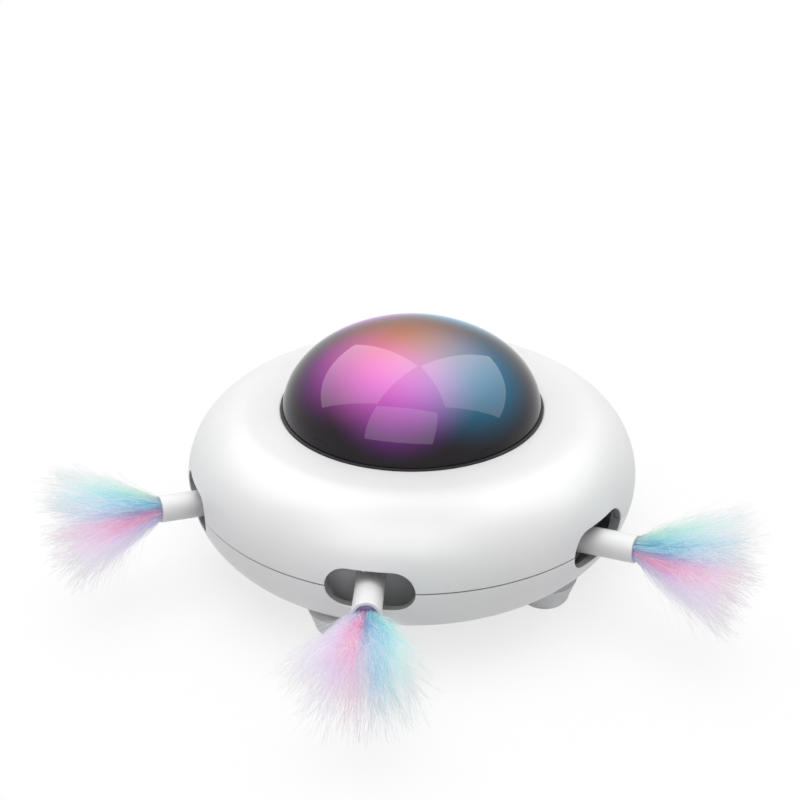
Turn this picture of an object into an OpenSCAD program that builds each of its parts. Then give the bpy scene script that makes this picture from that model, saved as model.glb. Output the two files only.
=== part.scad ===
// Automatic cat feather toy: a saucer body on five feet, with a lit dome on top and
// three feather wands that slide out of slots in its side. Millimetres, floor at z = 0.

/* [Body] */
// Radius of the body at its seam
body_r = 65; // [63:0.5:72]
// Height of the seam above the floor
seam_z = 26; // [25.5:0.5:31]
// Radius of the round side of the upper shell
crown_r = 19; // [18:0.5:21]
// Radius of the round side of the lower shell
belly_r = 20; // [19:0.5:21]
// Wall thickness of both shells
wall = 2; // [1.6:0.1:2.4]
// Open line between the two shells
seam_gap = 0.4; // [0.2:0.1:0.8]
// Height of the locating lip above the seam
lip_h = 2; // [1:0.5:3]
// Thickness of the locating lip
lip_t = 1.2; // [0.8:0.1:1.6]

/* [Slots] */
// Number of slots round the body
slot_count = 6; // [5:1:6]
// Width of a slot along the side
slot_w = 23; // [18:0.5:26]
// Height of a slot
slot_h = 11.4; // [10:0.2:12.4]

/* [Wands] */
// Outside diameter of a wand
wand_d = 7.5; // [7:0.1:8]
// Bore of a wand
wand_bore = 5.5; // [4.5:0.1:5.8]
// Share of the body's radius at which a wand's tail sits
tail_share = 0.4566; // [0.45:0.0001:0.47]
// Distance of a wand's mouth from the body's axis
wand_reach = 74.5; // [72:0.5:78]
// Sideways distance of a wand's line from the body's axis
wand_offset = 9; // [8:0.5:10]
// Angle by which a wand points up
wand_tilt = 8; // [6:0.5:9]
// Depth of a wand's axis below the seam, where it crosses the slot
wand_drop = 0.8; // [0:0.1:1.2]
// Stroke of a wand
wand_travel = 22; // [14:1:23]

/* [Tufts] */
// Length of a tuft beyond the wand's mouth
tuft_len = 31; // [25:1:45]
// Sideways spread of a tuft at its end
tuft_spread = 20; // [14:0.5:24]
// Number of strands in a tuft
tuft_strands = 110; // [100:5:120]
// Thickness of a strand at its middle
strand_d = 0.8; // [0.5:0.1:1]
// Thickness of a strand where it leaves its plug
strand_root_d = 0.24; // [0.2:0.02:0.28]
// Sag of the strands at the end of a tuft
tuft_droop = 1; // [0:0.5:6]
// Length of the plug that holds a tuft in its wand
plug_len = 8; // [5:0.5:12]

/* [Drive] */
// Tooth size, as the pitch diameter for each tooth
gear_module = 0.8; // [0.7:0.05:0.9]
// Number of teeth on a pinion
pinion_teeth = 14; // [12:1:14]
// Face width of a pinion
pinion_w = 4; // [3:0.5:5]
// Face width of a rack
rack_w = 4; // [3:0.5:4.5]
// Play between the teeth
tooth_play = 0.2; // [0.1:0.05:0.4]
// Diameter of a pinion's shaft
shaft_d = 3; // [2.5:0.1:3.2]
// Width of a motor's gearbox
gearbox_w = 12; // [11:0.5:12.5]
// Height of a motor's gearbox
gearbox_h = 10; // [9:0.5:10.5]
// Length of a motor's gearbox
gearbox_l = 9; // [8:0.5:11]
// Length of a motor's can
can_l = 15; // [12:0.5:16]
// Length of a motor cradle
cradle_l = 12; // [10:0.5:13]

/* [Dome] */
// Radius of the dome
dome_r = 37; // [34:0.5:38]
// Height of the dome above its seat
dome_h = 23; // [18:0.5:26]
// Wall thickness of the dome
dome_wall = 2; // [1.5:0.1:2.5]
// Width of the gasket round the dome
gasket_w = 0.6; // [0.5:0.1:1]
// Thickness of the gasket under the dome
gasket_t = 0.6; // [0.4:0.1:1]
// Width of the ledge under the dome
seat_ledge = 3; // [2.5:0.1:4]
// Radius of the light diffuser
diffuser_r = 31; // [26:0.5:31]
// Height of the light diffuser
diffuser_h = 13; // [8:0.5:14]
// Radius of the light board
board_r = 26; // [20:0.5:27]
// Number of lights on the board
led_count = 8; // [6:1:10]

/* [Feet] */
// Number of feet
foot_count = 5; // [4:1:6]
// Distance of a foot's middle from the body's axis
foot_place = 49; // [46:0.5:51]
// Radius of a foot's top
foot_top_r = 9; // [8:0.5:10]
// Radius of a foot's underside
foot_r = 6.5; // [5:0.5:7]
// Rounding of a foot's lower edge
foot_round = 2; // [1:0.1:2.5]

/* [Inside] */
// Thickness of the chassis plate
chassis_t = 2; // [1.6:0.1:2.2]
// Height of the bosses under the chassis
chassis_lift = 2; // [1.5:0.1:2.2]
// Diameter of the battery cell
cell_d = 14; // [12:0.5:15]
// Length of the battery cell
cell_l = 50; // [44:1:52]
// Thickness of the circuit boards
board_t = 1.6; // [1:0.1:1.8]
// Diameter of the power button
button_d = 7; // [6:0.5:7.5]
// Stroke of the power button
button_travel = 0.5; // [0.3:0.1:0.8]
// Shank diameter of the screws
screw_d = 2.5; // [2:0.1:2.8]
// Sliding clearance round a wand and a shaft
fit = 0.08; // [0.05:0.01:0.1]
// Clearance round parts that must not touch
clear = 0.4; // [0.3:0.1:0.6]

/* [Hidden] */
$fn = 48;
sides = ["left", "front", "right"];

// A little extra on cutting shapes, so that no cut ends on a face
over = 1;
// Heights
bottom_z = seam_z - belly_r;
floor_z = bottom_z + wall;
chassis_z = floor_z + chassis_lift;
deck_z = chassis_z + chassis_t;
crown_z = seam_z + crown_r;
// Radii of the middles of the two round sides
crown_mid = body_r - crown_r;
belly_mid = body_r - belly_r;
// Slots, and the directions of the three wands among them
slot_pitch = 360 / slot_count;
slot_along = sqrt(body_r * body_r - wand_offset * wand_offset);
slot_turn = -asin(wand_offset / body_r);
empty_slots = [for (k = [2 : slot_count - 2]) slot_turn + k * slot_pitch];
rib_turns = [for (k = [0, 2, 4]) slot_turn + (k + 0.5) * slot_pitch];
// Lines of the wands: distances along a wand count from the body's middle
wand_root_z = seam_z - wand_drop - slot_along * tan(wand_tilt);
mouth = sqrt(wand_reach * wand_reach - wand_offset * wand_offset) / cos(wand_tilt);
wand_tail = tail_share * body_r;
wand_len = mouth - wand_tail;
// Rack and pinion
pinion_pitch_r = gear_module * pinion_teeth / 2;
pinion_tip_r = pinion_pitch_r + gear_module;
tooth_pitch = PI * gear_module;
tooth_root = 1.25 * gear_module;
rack_line = wand_d / 2 + 1.2;
mesh_inset = 4.5;
mesh = wand_tail + mesh_inset;
rack_end = mesh + wand_travel + 3;
pinion_lift = rack_line + pinion_pitch_r + 0.1;
pinion_y = -mesh * cos(wand_tilt) + pinion_lift * sin(wand_tilt);
pinion_z = wand_root_z + mesh * sin(wand_tilt) + pinion_lift * cos(wand_tilt);
// Guides
guide_start = mesh + pinion_tip_r + 0.9;
guide_inset = 10.8;
guide_face = body_r - guide_inset;
guide_len = guide_face - guide_start;
guide_w = 14;
guide_leg_w = 10;
guide_low = wand_d / 2 + 1.6;
guide_high = wand_d / 2 + 1.8;
face_t = 1.5;
face_w = 28;
face_low = wand_d / 2 + 3.2;
face_high = wand_d / 2 + 4.2;
guide_leg = [guide_start * cos(wand_tilt) + 0.5, 6.5];
flange_w = 22;
flange_t = 2;
screw_inset = 3;
// Motors
motor_x = -wand_offset + pinion_w / 2 + 1;
cradle_x = motor_x + 3;
cradle_cheek = 1.8;
cradle_w = gearbox_w + 2 * cradle_cheek;
strap_t = 1;
strap_w = 5;
// Dome and light
gasket_r = dome_r + gasket_w;
seat_z = crown_z - 1.4;
seat_r = dome_r - seat_ledge;
collar_r = gasket_r + 2.6;
collar_z = crown_z - 3.6;
tray_t = 1.6;
tray_top = collar_z;
dome_z = seat_z + gasket_t;
board_top = tray_top + board_t;
led_size = 4;
led_h = 1.4;
diffuser_wall = 1.6;
diffuser_skirt = 2;
tray_screw_r = gasket_r + 0.8;
// Screws
boss_r = screw_d / 2 + 2.2;
head_r = screw_d / 2 + 1.4;
head_h = 1.6;
boss_place = body_r - 11;
boss_head_z = bottom_z + 8;
shell_screw_l = 17;
chassis_boss_place = 40;
chassis_r = belly_mid + sqrt(pow(belly_r - wall, 2) - pow(seam_z - chassis_z, 2)) - 2 * clear;
// Battery
cell_y = 20;
cell_z = deck_z + 1.2 + cell_d / 2;
holder_end = 2;
// Control board, button and inlet, on a side between two back slots
service_turn = slot_turn + 3.5 * slot_pitch;
control_w = 24;
control_from = body_r - 25;
control_to = body_r - 10;
control_z = deck_z + 4;
control_top = control_z + board_t;
post_r = 2.5;
service_z = control_top + 1.6;
usb_w = 9;
usb_h = 3.2;
usb_x = -6.5;
usb_from = body_r - 15;
usb_to = body_r - 2.4;
button_x = 6.5;
button_out = body_r - 0.3;
button_flange = [body_r - 8.9, 1.2];
stem_r = 1.3;
stem_end = body_r - 11.5;
plunger_r = 1.4;
plunger_end = stem_end - 0.05;
plunger_l = 2.2;
switch_w = 6;
switch_from = body_r - 16;
switch_to = plunger_end - 1;
// Tufts: turn from strand to strand, depth in the plug, shares of spread and sag at the bend,
// the shortest share of a strand's outer half, and how much the tuft is rounded at its end
golden_turn = 137.5;
strand_sink = 0.5;
bend_spread = 0.55;
bend_sag = 0.3;
strand_cut = 0.6;
tuft_round = 0.15;
// Feet
foot_turn = -21.5;
foot_lift = 0.05;
// Colours
shell_white = "white";
part_grey = "gainsboro";
board_green = "darkgreen";
steel = "silver";

// Turn of each wand round the body's axis
function wand_turn(k) = (k - 1) * slot_pitch;

// Places a shape drawn along a wand: x sideways, y up, z outwards from the body's middle
module on_wand() {
    translate([-wand_offset, 0, wand_root_z]) rotate([90 - wand_tilt, 0, 0]) children();
}

// Places a shape drawn in front of the body on the side of wand k
module on_side(k) {
    rotate(wand_turn(k)) children();
}

// Places a shape drawn in front of the body where the inlet and the button are
module on_service() {
    rotate(service_turn) children();
}

// Half section of the closed upper body, shrunk by inset
module crown_outline(inset = 0) {
    intersection() {
        union() {
            square([crown_mid, crown_r - inset]);
            translate([crown_mid, 0]) circle(crown_r - inset);
        }
        square(body_r);
    }
}

// Half section of the closed lower body, shrunk by inset
module belly_outline(inset = 0) {
    mirror([0, 1]) intersection() {
        union() {
            square([belly_mid, belly_r - inset]);
            translate([belly_mid, 0]) circle(belly_r - inset);
        }
        square(body_r);
    }
}

// A long hole with round ends, drawn through the side of the body in front
module long_hole(w, h, from, to) {
    translate([0, -from, 0]) rotate([90, 0, 0]) {
        translate([-(w - h) / 2, -h / 2, 0]) cube([w - h, h, to - from]);
        for (x = [-1, 1]) translate([x * (w - h) / 2, 0, 0]) cylinder(d = h, h = to - from);
    }
}

// All slots, as cutting shapes
module slots() {
    for (k = [0 : slot_count - 1])
        rotate(slot_turn + k * slot_pitch) translate([0, 0, seam_z])
            long_hole(slot_w, slot_h, body_r - crown_r, body_r + over);
}

// Places a shape at each of the three places where the shells are screwed together
module at_bosses() {
    for (a = rib_turns) rotate(a) translate([0, -boss_place, 0]) children();
}

// Places a shape at each of the three places where the chassis is screwed down
module at_chassis_bosses() {
    for (a = rib_turns) rotate(a) translate([0, -chassis_boss_place, 0]) children();
}

// Places a shape at each of the three screws of the light tray
module at_tray_screws() {
    for (a = rib_turns) rotate(a) translate([0, -tray_screw_r, 0]) children();
}

// Shells
module lower_shell() {
    color(shell_white) difference() {
        union() {
            difference() {
                translate([0, 0, seam_z]) rotate_extrude() belly_outline();
                translate([0, 0, seam_z]) rotate_extrude() belly_outline(wall);
            }
            translate([0, 0, seam_z]) rotate_extrude()
                translate([body_r - wall - lip_t, -lip_h]) square([lip_t - clear, 2 * lip_h]);
            translate([0, 0, seam_z - lip_h]) rotate_extrude()
                translate([body_r - wall - lip_t, -lip_h]) square([lip_t + wall / 2, lip_h]);
            intersection() {
                at_bosses() translate([0, 0, bottom_z]) cylinder(r = boss_r, h = belly_r - seam_gap);
                translate([0, 0, seam_z]) rotate_extrude() belly_outline(wall / 2);
            }
            at_chassis_bosses() translate([0, 0, bottom_z + wall / 2])
                cylinder(r = boss_r, h = chassis_z - bottom_z - wall / 2);
        }
        translate([0, 0, seam_z - seam_gap / 2]) difference() {
            cylinder(r = body_r + over, h = seam_gap);
            translate([0, 0, -over]) cylinder(r = body_r - wall - clear, h = seam_gap + 2 * over);
        }
        slots();
        at_bosses() {
            cylinder(r = head_r + clear, h = boss_head_z);
            cylinder(d = screw_d + clear, h = seam_z + over);
        }
        at_chassis_bosses() translate([0, 0, bottom_z + 0.8]) cylinder(d = screw_d + 0.1, h = chassis_z);
        on_service() translate([0, 0, service_z]) {
            translate([usb_x, 0, 0]) long_hole(usb_w + clear, usb_h + clear, usb_from, body_r + over);
            translate([button_x, -body_r + crown_r, 0]) rotate([90, 0, 0])
                cylinder(d = button_d + clear, h = crown_r + over);
        }
    }
}

module upper_shell() {
    color(shell_white) difference() {
        union() {
            difference() {
                translate([0, 0, seam_z]) rotate_extrude() crown_outline();
                translate([0, 0, seam_z]) rotate_extrude() crown_outline(wall);
            }
            translate([0, 0, collar_z]) cylinder(r = collar_r, h = crown_z - collar_z);
            intersection() {
                at_bosses() translate([0, 0, seam_z + seam_gap]) cylinder(r = boss_r, h = crown_r);
                translate([0, 0, seam_z]) rotate_extrude() crown_outline(wall / 2);
            }
        }
        translate([0, 0, seam_z - over]) cylinder(r = body_r + over, h = over + seam_gap / 2);
        translate([0, 0, collar_z - over]) cylinder(r = seat_r, h = crown_r);
        translate([0, 0, seat_z]) cylinder(r = gasket_r, h = crown_r);
        slots();
        at_bosses() cylinder(d = screw_d + 0.1, h = boss_head_z + shell_screw_l + over);
        at_tray_screws() cylinder(d = screw_d + 0.1, h = crown_z - wall / 2);
    }
}

// Dome and light
module dome_gasket() {
    color("black") rotate_extrude() {
        translate([seat_r, seat_z]) square([gasket_r - seat_r, gasket_t]);
        translate([dome_r, seat_z]) square([gasket_w, crown_z - seat_z + 0.3]);
    }
}

// Half section of half an ellipsoid
module dome_outline(r, h) {
    intersection() {
        scale([1, h / r]) circle(r);
        square(2 * r);
    }
}

module dome_lens() {
    color("#4a2a3c") translate([0, 0, dome_z]) rotate_extrude() difference() {
        dome_outline(dome_r, crown_z + dome_h - dome_z);
        dome_outline(dome_r - dome_wall, crown_z + dome_h - dome_z - dome_wall);
    }
}

module light_tray() {
    color(part_grey) difference() {
        translate([0, 0, tray_top - tray_t]) cylinder(r = collar_r, h = tray_t);
        at_tray_screws() cylinder(d = screw_d + clear, h = crown_z);
    }
}

module light_board() {
    color(board_green) translate([0, 0, tray_top]) cylinder(r = board_r, h = board_t);
}

module leds() {
    color("lightyellow") for (k = [1 : led_count])
        rotate(k * 360 / led_count) translate([board_r * 0.7, 0, board_top + led_h / 2])
            cube([led_size, led_size, led_h], center = true);
}

module light_diffuser() {
    color("mistyrose") translate([0, 0, tray_top]) rotate_extrude() {
        translate([0, diffuser_skirt]) difference() {
            dome_outline(diffuser_r, diffuser_h);
            dome_outline(diffuser_r - diffuser_wall, diffuser_h - diffuser_wall);
        }
        translate([diffuser_r - diffuser_wall, 0]) square([diffuser_wall, diffuser_skirt]);
    }
}

// Chassis, with the posts of the control board
module chassis() {
    color(part_grey) difference() {
        union() {
            translate([0, 0, chassis_z]) cylinder(r = chassis_r, h = chassis_t);
            on_service() for (x = [-1, 1]) translate([x * (control_w / 2 - post_r), -control_from - post_r, deck_z])
                cylinder(r = post_r, h = control_z - deck_z);
        }
        at_bosses() cylinder(r = boss_r + clear, h = crown_z);
        at_chassis_bosses() cylinder(d = screw_d + clear, h = crown_z);
        for (k = [0 : 2]) on_side(k) at_guide_screws() cylinder(d = screw_d + 0.1, h = crown_z);
    }
}

// Wands, each with a rack along its upper side
module rack() {
    rotate([0, 90, 0]) translate([0, 0, -rack_w / 2]) linear_extrude(rack_w) {
        translate([-rack_end, wand_bore / 2]) square([rack_end - wand_tail, rack_line - tooth_root - wand_bore / 2]);
        for (s = [mesh : tooth_pitch : rack_end - tooth_pitch / 2]) translate([-s, rack_line]) rack_tooth();
        for (s = [mesh - tooth_pitch : -tooth_pitch : wand_tail + tooth_pitch / 2])
            translate([-s, rack_line]) rack_tooth();
    }
}

module rack_tooth() {
    half = (tooth_pitch / 2 - tooth_play) / 2;
    lean = tan(20);
    polygon([
        [-half - tooth_root * lean, -tooth_root], [half + tooth_root * lean, -tooth_root],
        [half - gear_module * lean, gear_module], [-half + gear_module * lean, gear_module]
    ]);
}

module wand(k) {
    color(shell_white) on_side(k) on_wand() difference() {
        union() {
            translate([0, 0, wand_tail]) cylinder(d = wand_d, h = wand_len);
            rack();
        }
        translate([0, 0, wand_tail - over]) cylinder(d = wand_bore, h = wand_len + 2 * over);
    }
}

// Pinion outline with involute flanks, and a gap at the bottom, where the rack's tooth is
function unwind(r, base) = let (a = acos(min(1, base / r))) tan(a) * 180 / PI - a;

module pinion_outline() {
    base = pinion_pitch_r * cos(20);
    root = pinion_pitch_r - tooth_root;
    half = (90 - 180 / PI * tooth_play / 2 / pinion_pitch_r * pinion_teeth / 2) / pinion_teeth;
    steps = [for (i = [0 : 4]) base + (pinion_tip_r - base) * i / 4];
    function flank(r) = half + unwind(pinion_pitch_r, base) - unwind(r, base);
    polygon([for (j = [0 : pinion_teeth - 1]) let (a = -90 + (j + 0.5) * 360 / pinion_teeth) each concat(
        [root * [cos(a - flank(base)), sin(a - flank(base))]],
        [for (r = steps) r * [cos(a - flank(r)), sin(a - flank(r))]],
        [for (i = [4 : -1 : 0]) steps[i] * [cos(a + flank(steps[i])), sin(a + flank(steps[i]))]],
        [root * [cos(a + flank(base)), sin(a + flank(base))]]
    )]);
}

module pinion(k) {
    color("goldenrod") on_side(k) on_wand() translate([0, pinion_lift, mesh]) rotate([0, 90, 0])
        translate([0, 0, -pinion_w / 2]) linear_extrude(pinion_w) difference() {
            pinion_outline();
            circle(d = shaft_d);
        }
}

module pinion_shaft(k) {
    color(steel) on_side(k) translate([-wand_offset - pinion_w / 2, pinion_y, pinion_z]) rotate([0, 90, 0])
        cylinder(d = shaft_d, h = motor_x + wand_offset + pinion_w / 2 + gearbox_l - 2);
}

// Motors, with their cradles and straps
module motor_block(gap = 0) {
    translate([motor_x, pinion_y - gearbox_w / 2 - gap, pinion_z - gearbox_h / 2 - gap])
        cube([gearbox_l, gearbox_w + 2 * gap, gearbox_h + 2 * gap]);
    intersection() {
        translate([motor_x + gearbox_l, pinion_y, pinion_z]) rotate([0, 90, 0])
            cylinder(d = gearbox_w + 2 * gap, h = can_l);
        translate([motor_x, pinion_y - gearbox_w / 2 - gap, pinion_z - gearbox_h / 2 - gap])
            cube([gearbox_l + can_l, gearbox_w + 2 * gap, gearbox_h + 2 * gap]);
    }
}

module motor(k) {
    color(steel) on_side(k) difference() {
        motor_block();
        translate([motor_x - over, pinion_y, pinion_z]) rotate([0, 90, 0])
            cylinder(d = shaft_d + 2 * fit, h = over + gearbox_l - 1);
    }
}

module motor_cradle(k) {
    color(part_grey) on_side(k) difference() {
        translate([cradle_x, pinion_y - cradle_w / 2, deck_z]) cube([cradle_l, cradle_w, pinion_z - deck_z]);
        translate([motor_x, pinion_y - gearbox_w / 2, pinion_z - gearbox_h / 2])
            cube([gearbox_l + can_l, gearbox_w, gearbox_h]);
    }
}

module motor_strap(k) {
    color("dimgray") on_side(k) difference() {
        translate([cradle_x, pinion_y - cradle_w / 2, pinion_z])
            cube([strap_w, cradle_w, gearbox_h / 2 + strap_t]);
        translate([motor_x, pinion_y - gearbox_w / 2, pinion_z - gearbox_h / 2])
            cube([gearbox_l + can_l, gearbox_w, gearbox_h]);
    }
}

// Places a shape at both screws of a guide's flange
module at_guide_screws() {
    for (x = [-1, 1])
        translate([-wand_offset + x * (flange_w / 2 - screw_inset), -guide_leg[0] - guide_leg[1] / 2, 0]) children();
}

// Guides that the wands slide in, each with a plate that closes the view through its slot
module wand_guide(k) {
    color(part_grey) on_side(k) difference() {
        union() {
            on_wand() {
                translate([-guide_w / 2, -guide_low, guide_start]) cube([guide_w, guide_low + guide_high, guide_len]);
                translate([-face_w / 2, -face_low, guide_face - face_t]) cube([face_w, face_low + face_high, face_t]);
            }
            translate([-wand_offset - guide_leg_w / 2, -guide_leg[0] - guide_leg[1], deck_z])
                cube([guide_leg_w, guide_leg[1], wand_root_z + guide_start * sin(wand_tilt) - deck_z]);
            translate([-wand_offset - flange_w / 2, -guide_leg[0] - guide_leg[1], deck_z])
                cube([flange_w, guide_leg[1], flange_t]);
        }
        on_wand() {
            translate([0, 0, guide_start - guide_len]) cylinder(d = wand_d + 2 * fit, h = 3 * guide_len);
            translate([-rack_w / 2 - clear, 0, guide_start - over])
                cube([rack_w + 2 * clear, rack_line + gear_module + clear, guide_len + 2 * over]);
        }
        at_guide_screws() cylinder(d = screw_d + clear, h = deck_z + flange_t + over);
    }
}

module slot_screens() {
    color(part_grey) for (a = empty_slots) rotate(a) {
        translate([-face_w / 2, -guide_face, deck_z + flange_t]) cube([face_w, face_t, 2 * slot_h - flange_t]);
        translate([-guide_w / 2, -guide_face, deck_z]) cube([guide_w, guide_face - chassis_r + guide_leg[1], flange_t]);
    }
}

// Tufts: strands that fan out of a plug in the wand's mouth
function strand_ring(c, r) = [for (a = [0, 120, 240]) c + r * [cos(a), sin(a), 0]];

module strand(base, middle, tip) {
    polyhedron(
        points = concat(strand_ring(base, strand_root_d / 2), strand_ring(middle, strand_d / 2), [tip]),
        faces = concat(
            [[0, 1, 2]],
            [for (i = [0 : 2]) each [
                [i, 3 + i, 3 + (i + 1) % 3], [i, 3 + (i + 1) % 3, (i + 1) % 3], [3 + i, 6, 3 + (i + 1) % 3]
            ]]
        )
    );
}

module tuft(k) {
    plug_r = wand_bore / 2 - fit / 2;
    root_r = plug_r - strand_root_d;
    cuts = rands(strand_cut, 1, tuft_strands, 7);
    color("plum") on_side(k) on_wand() translate([0, 0, mouth - plug_len])
        resize([0, 0, plug_len + tuft_len]) union() {
            cylinder(r = plug_r, h = plug_len, $fn = 24);
            for (i = [0 : tuft_strands - 1]) {
                share = sqrt((i + 0.5) / tuft_strands);
                across = share * [cos(i * golden_turn), sin(i * golden_turn), 0];
                sag = [0, -tuft_droop * share, 0];
                base = root_r * across + [0, 0, plug_len - strand_sink];
                middle = bend_spread * tuft_spread * across + bend_sag * sag + [0, 0, plug_len + tuft_len / 2];
                end = tuft_spread * across + sag + [0, 0, plug_len + tuft_len * (1 - tuft_round * share)];
                strand(base, middle, middle + cuts[i] * (end - middle));
            }
        }
}

// Battery
module battery_cell() {
    color("royalblue") translate([-cell_l / 2, cell_y, cell_z]) rotate([0, 90, 0]) cylinder(d = cell_d, h = cell_l);
}

module battery_holder() {
    color("dimgray") difference() {
        translate([-cell_l / 2 - holder_end, cell_y - cell_d / 2 - 1, deck_z])
            cube([cell_l + 2 * holder_end, cell_d + 2, cell_z - deck_z]);
        translate([-cell_l / 2, cell_y, cell_z]) rotate([0, 90, 0]) cylinder(d = cell_d, h = cell_l);
    }
}

// Control board, inlet, switch and button
module control_board() {
    color(board_green) on_service() translate([-control_w / 2, -control_to, control_z])
        cube([control_w, control_to - control_from, board_t]);
}

module usb_inlet() {
    color(steel) on_service() translate([usb_x, 0, service_z]) difference() {
        long_hole(usb_w, usb_h, usb_from, usb_to);
        long_hole(usb_w - 0.6, usb_h - 0.6, usb_to - 6, usb_to + over);
    }
}

module power_switch() {
    color("black") on_service() difference() {
        translate([button_x - switch_w / 2, -switch_to, control_top])
            cube([switch_w, switch_to - switch_from, 2 * (service_z - control_top)]);
        translate([button_x, -switch_to + plunger_l, service_z]) rotate([90, 0, 0])
            cylinder(r = plunger_r + fit, h = plunger_l + over);
    }
}

module switch_plunger() {
    color("white") on_service() translate([button_x, -plunger_end + plunger_l, service_z]) rotate([90, 0, 0])
        cylinder(r = plunger_r, h = plunger_l);
}

module power_button() {
    color(part_grey) on_service() translate([button_x, 0, service_z]) rotate([90, 0, 0]) {
        translate([0, 0, button_flange[0]]) cylinder(d = button_d, h = button_out - button_flange[0]);
        translate([0, 0, button_flange[0]]) cylinder(d = button_d + 2, h = button_flange[1]);
        translate([0, 0, stem_end]) cylinder(r = stem_r, h = button_flange[0] - stem_end);
    }
}

// Feet, cut to the round underside that they are fixed to
module foot(k) {
    color("whitesmoke") rotate(foot_turn + k * 360 / foot_count) difference() {
        translate([0, -foot_place, 0]) rotate_extrude() {
            polygon([
                [0, 0], [foot_r - foot_round, 0], [foot_r, foot_round],
                [foot_top_r, bottom_z + wall], [0, bottom_z + wall]
            ]);
            translate([foot_r - foot_round, foot_round]) circle(foot_round);
        }
        translate([0, 0, seam_z - foot_lift]) rotate_extrude() belly_outline();
    }
}

// Screws: a round head with its shank above it
module screw(l) {
    translate([0, 0, -head_h]) cylinder(r = head_r, h = head_h);
    cylinder(d = screw_d, h = l);
}

module shell_screws() {
    color(steel) at_bosses() translate([0, 0, boss_head_z]) screw(shell_screw_l);
}

module chassis_screws() {
    color(steel) at_chassis_bosses() translate([0, 0, deck_z]) mirror([0, 0, 1]) screw(deck_z - bottom_z - wall / 2);
}

module tray_screws() {
    color(steel) at_tray_screws() translate([0, 0, tray_top - tray_t]) screw(tray_t + 2);
}

module guide_screws() {
    color(steel) for (k = [0 : 2]) on_side(k) at_guide_screws()
        translate([0, 0, deck_z + flange_t]) mirror([0, 0, 1]) screw(flange_t + chassis_t);
}

lower_shell();
upper_shell();
dome_gasket();
dome_lens();
light_tray();
light_board();
leds();
light_diffuser();
chassis();
for (k = [0 : 2]) {
    wand(k);
    tuft(k);
    wand_guide(k);
    pinion(k);
    pinion_shaft(k);
    motor(k);
    motor_cradle(k);
    motor_strap(k);
}
slot_screens();
battery_cell();
battery_holder();
control_board();
usb_inlet();
power_switch();
switch_plunger();
power_button();
for (k = [1 : foot_count]) {
    foot(k - 1);
}
shell_screws();
chassis_screws();
tray_screws();
guide_screws();
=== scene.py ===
"""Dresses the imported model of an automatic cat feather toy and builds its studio."""

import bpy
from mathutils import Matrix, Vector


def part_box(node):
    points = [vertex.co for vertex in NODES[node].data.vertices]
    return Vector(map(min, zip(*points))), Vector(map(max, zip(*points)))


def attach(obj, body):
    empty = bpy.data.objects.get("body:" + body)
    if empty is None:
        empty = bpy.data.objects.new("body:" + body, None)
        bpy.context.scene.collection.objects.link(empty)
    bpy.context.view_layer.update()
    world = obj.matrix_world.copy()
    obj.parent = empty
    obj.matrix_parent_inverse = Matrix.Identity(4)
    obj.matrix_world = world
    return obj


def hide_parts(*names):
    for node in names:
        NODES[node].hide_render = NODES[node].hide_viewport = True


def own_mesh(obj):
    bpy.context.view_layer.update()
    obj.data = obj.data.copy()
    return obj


bl_info = {
    "name": "Feather Toy Dresser",
    "version": (1, 0, 0),
    "blender": (4, 5, 0),
    "location": "View3D > Sidebar > Feather Toy",
    "description": "Smooth shells, a lit dome, wands and feather tufts for the packed feather toy",
    "category": "Object",
}

import math

import bmesh
import bpy
from bpy.props import FloatProperty, FloatVectorProperty, IntProperty, PointerProperty
from mathutils import Matrix, Vector

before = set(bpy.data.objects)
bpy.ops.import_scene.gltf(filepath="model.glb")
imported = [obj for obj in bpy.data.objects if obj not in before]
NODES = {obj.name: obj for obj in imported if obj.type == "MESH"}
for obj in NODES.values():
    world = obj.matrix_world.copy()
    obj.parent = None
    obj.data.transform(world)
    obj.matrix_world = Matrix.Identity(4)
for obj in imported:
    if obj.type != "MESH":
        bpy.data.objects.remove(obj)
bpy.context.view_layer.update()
MM = 0.001
SIDES = ("left", "front", "right")

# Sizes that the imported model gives
SHELL_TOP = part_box("upper_shell")[1]
FLOOR_OF_SHELL, LIP_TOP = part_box("lower_shell")
DOME_FOOT, DOME_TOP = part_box("dome_lens")
SERVICE_Z = sum(corner.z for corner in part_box("usb_inlet")) / 2


# Node trees

class Value:
    """A socket of a node tree, on which Python's operators add Math nodes."""

    def __init__(self, graph, socket):
        self.graph = graph
        self.socket = socket

    def maths(self, operation, *terms):
        return self.graph.node("ShaderNodeMath", dict(enumerate(terms)), operation=operation)

    def __add__(self, other):
        return self.maths("ADD", self, other)

    def __sub__(self, other):
        return self.maths("SUBTRACT", self, other)

    def __rsub__(self, other):
        return self.maths("SUBTRACT", other, self)

    def __mul__(self, other):
        return self.maths("MULTIPLY", self, other)

    def __pow__(self, other):
        return self.maths("POWER", self, other)

    __radd__ = __add__
    __rmul__ = __mul__

    def out(self, name):
        """Another output of the same node."""
        return Value(self.graph, self.socket.node.outputs[name])

    def ramp(self, low, high, to_low=0.0, to_high=1.0):
        """A smooth step of this value from low to high."""
        sockets = {"Value": self, "From Min": low, "From Max": high, "To Min": to_low, "To Max": to_high}
        return self.graph.node("ShaderNodeMapRange", sockets, interpolation_type="SMOOTHSTEP")


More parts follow.
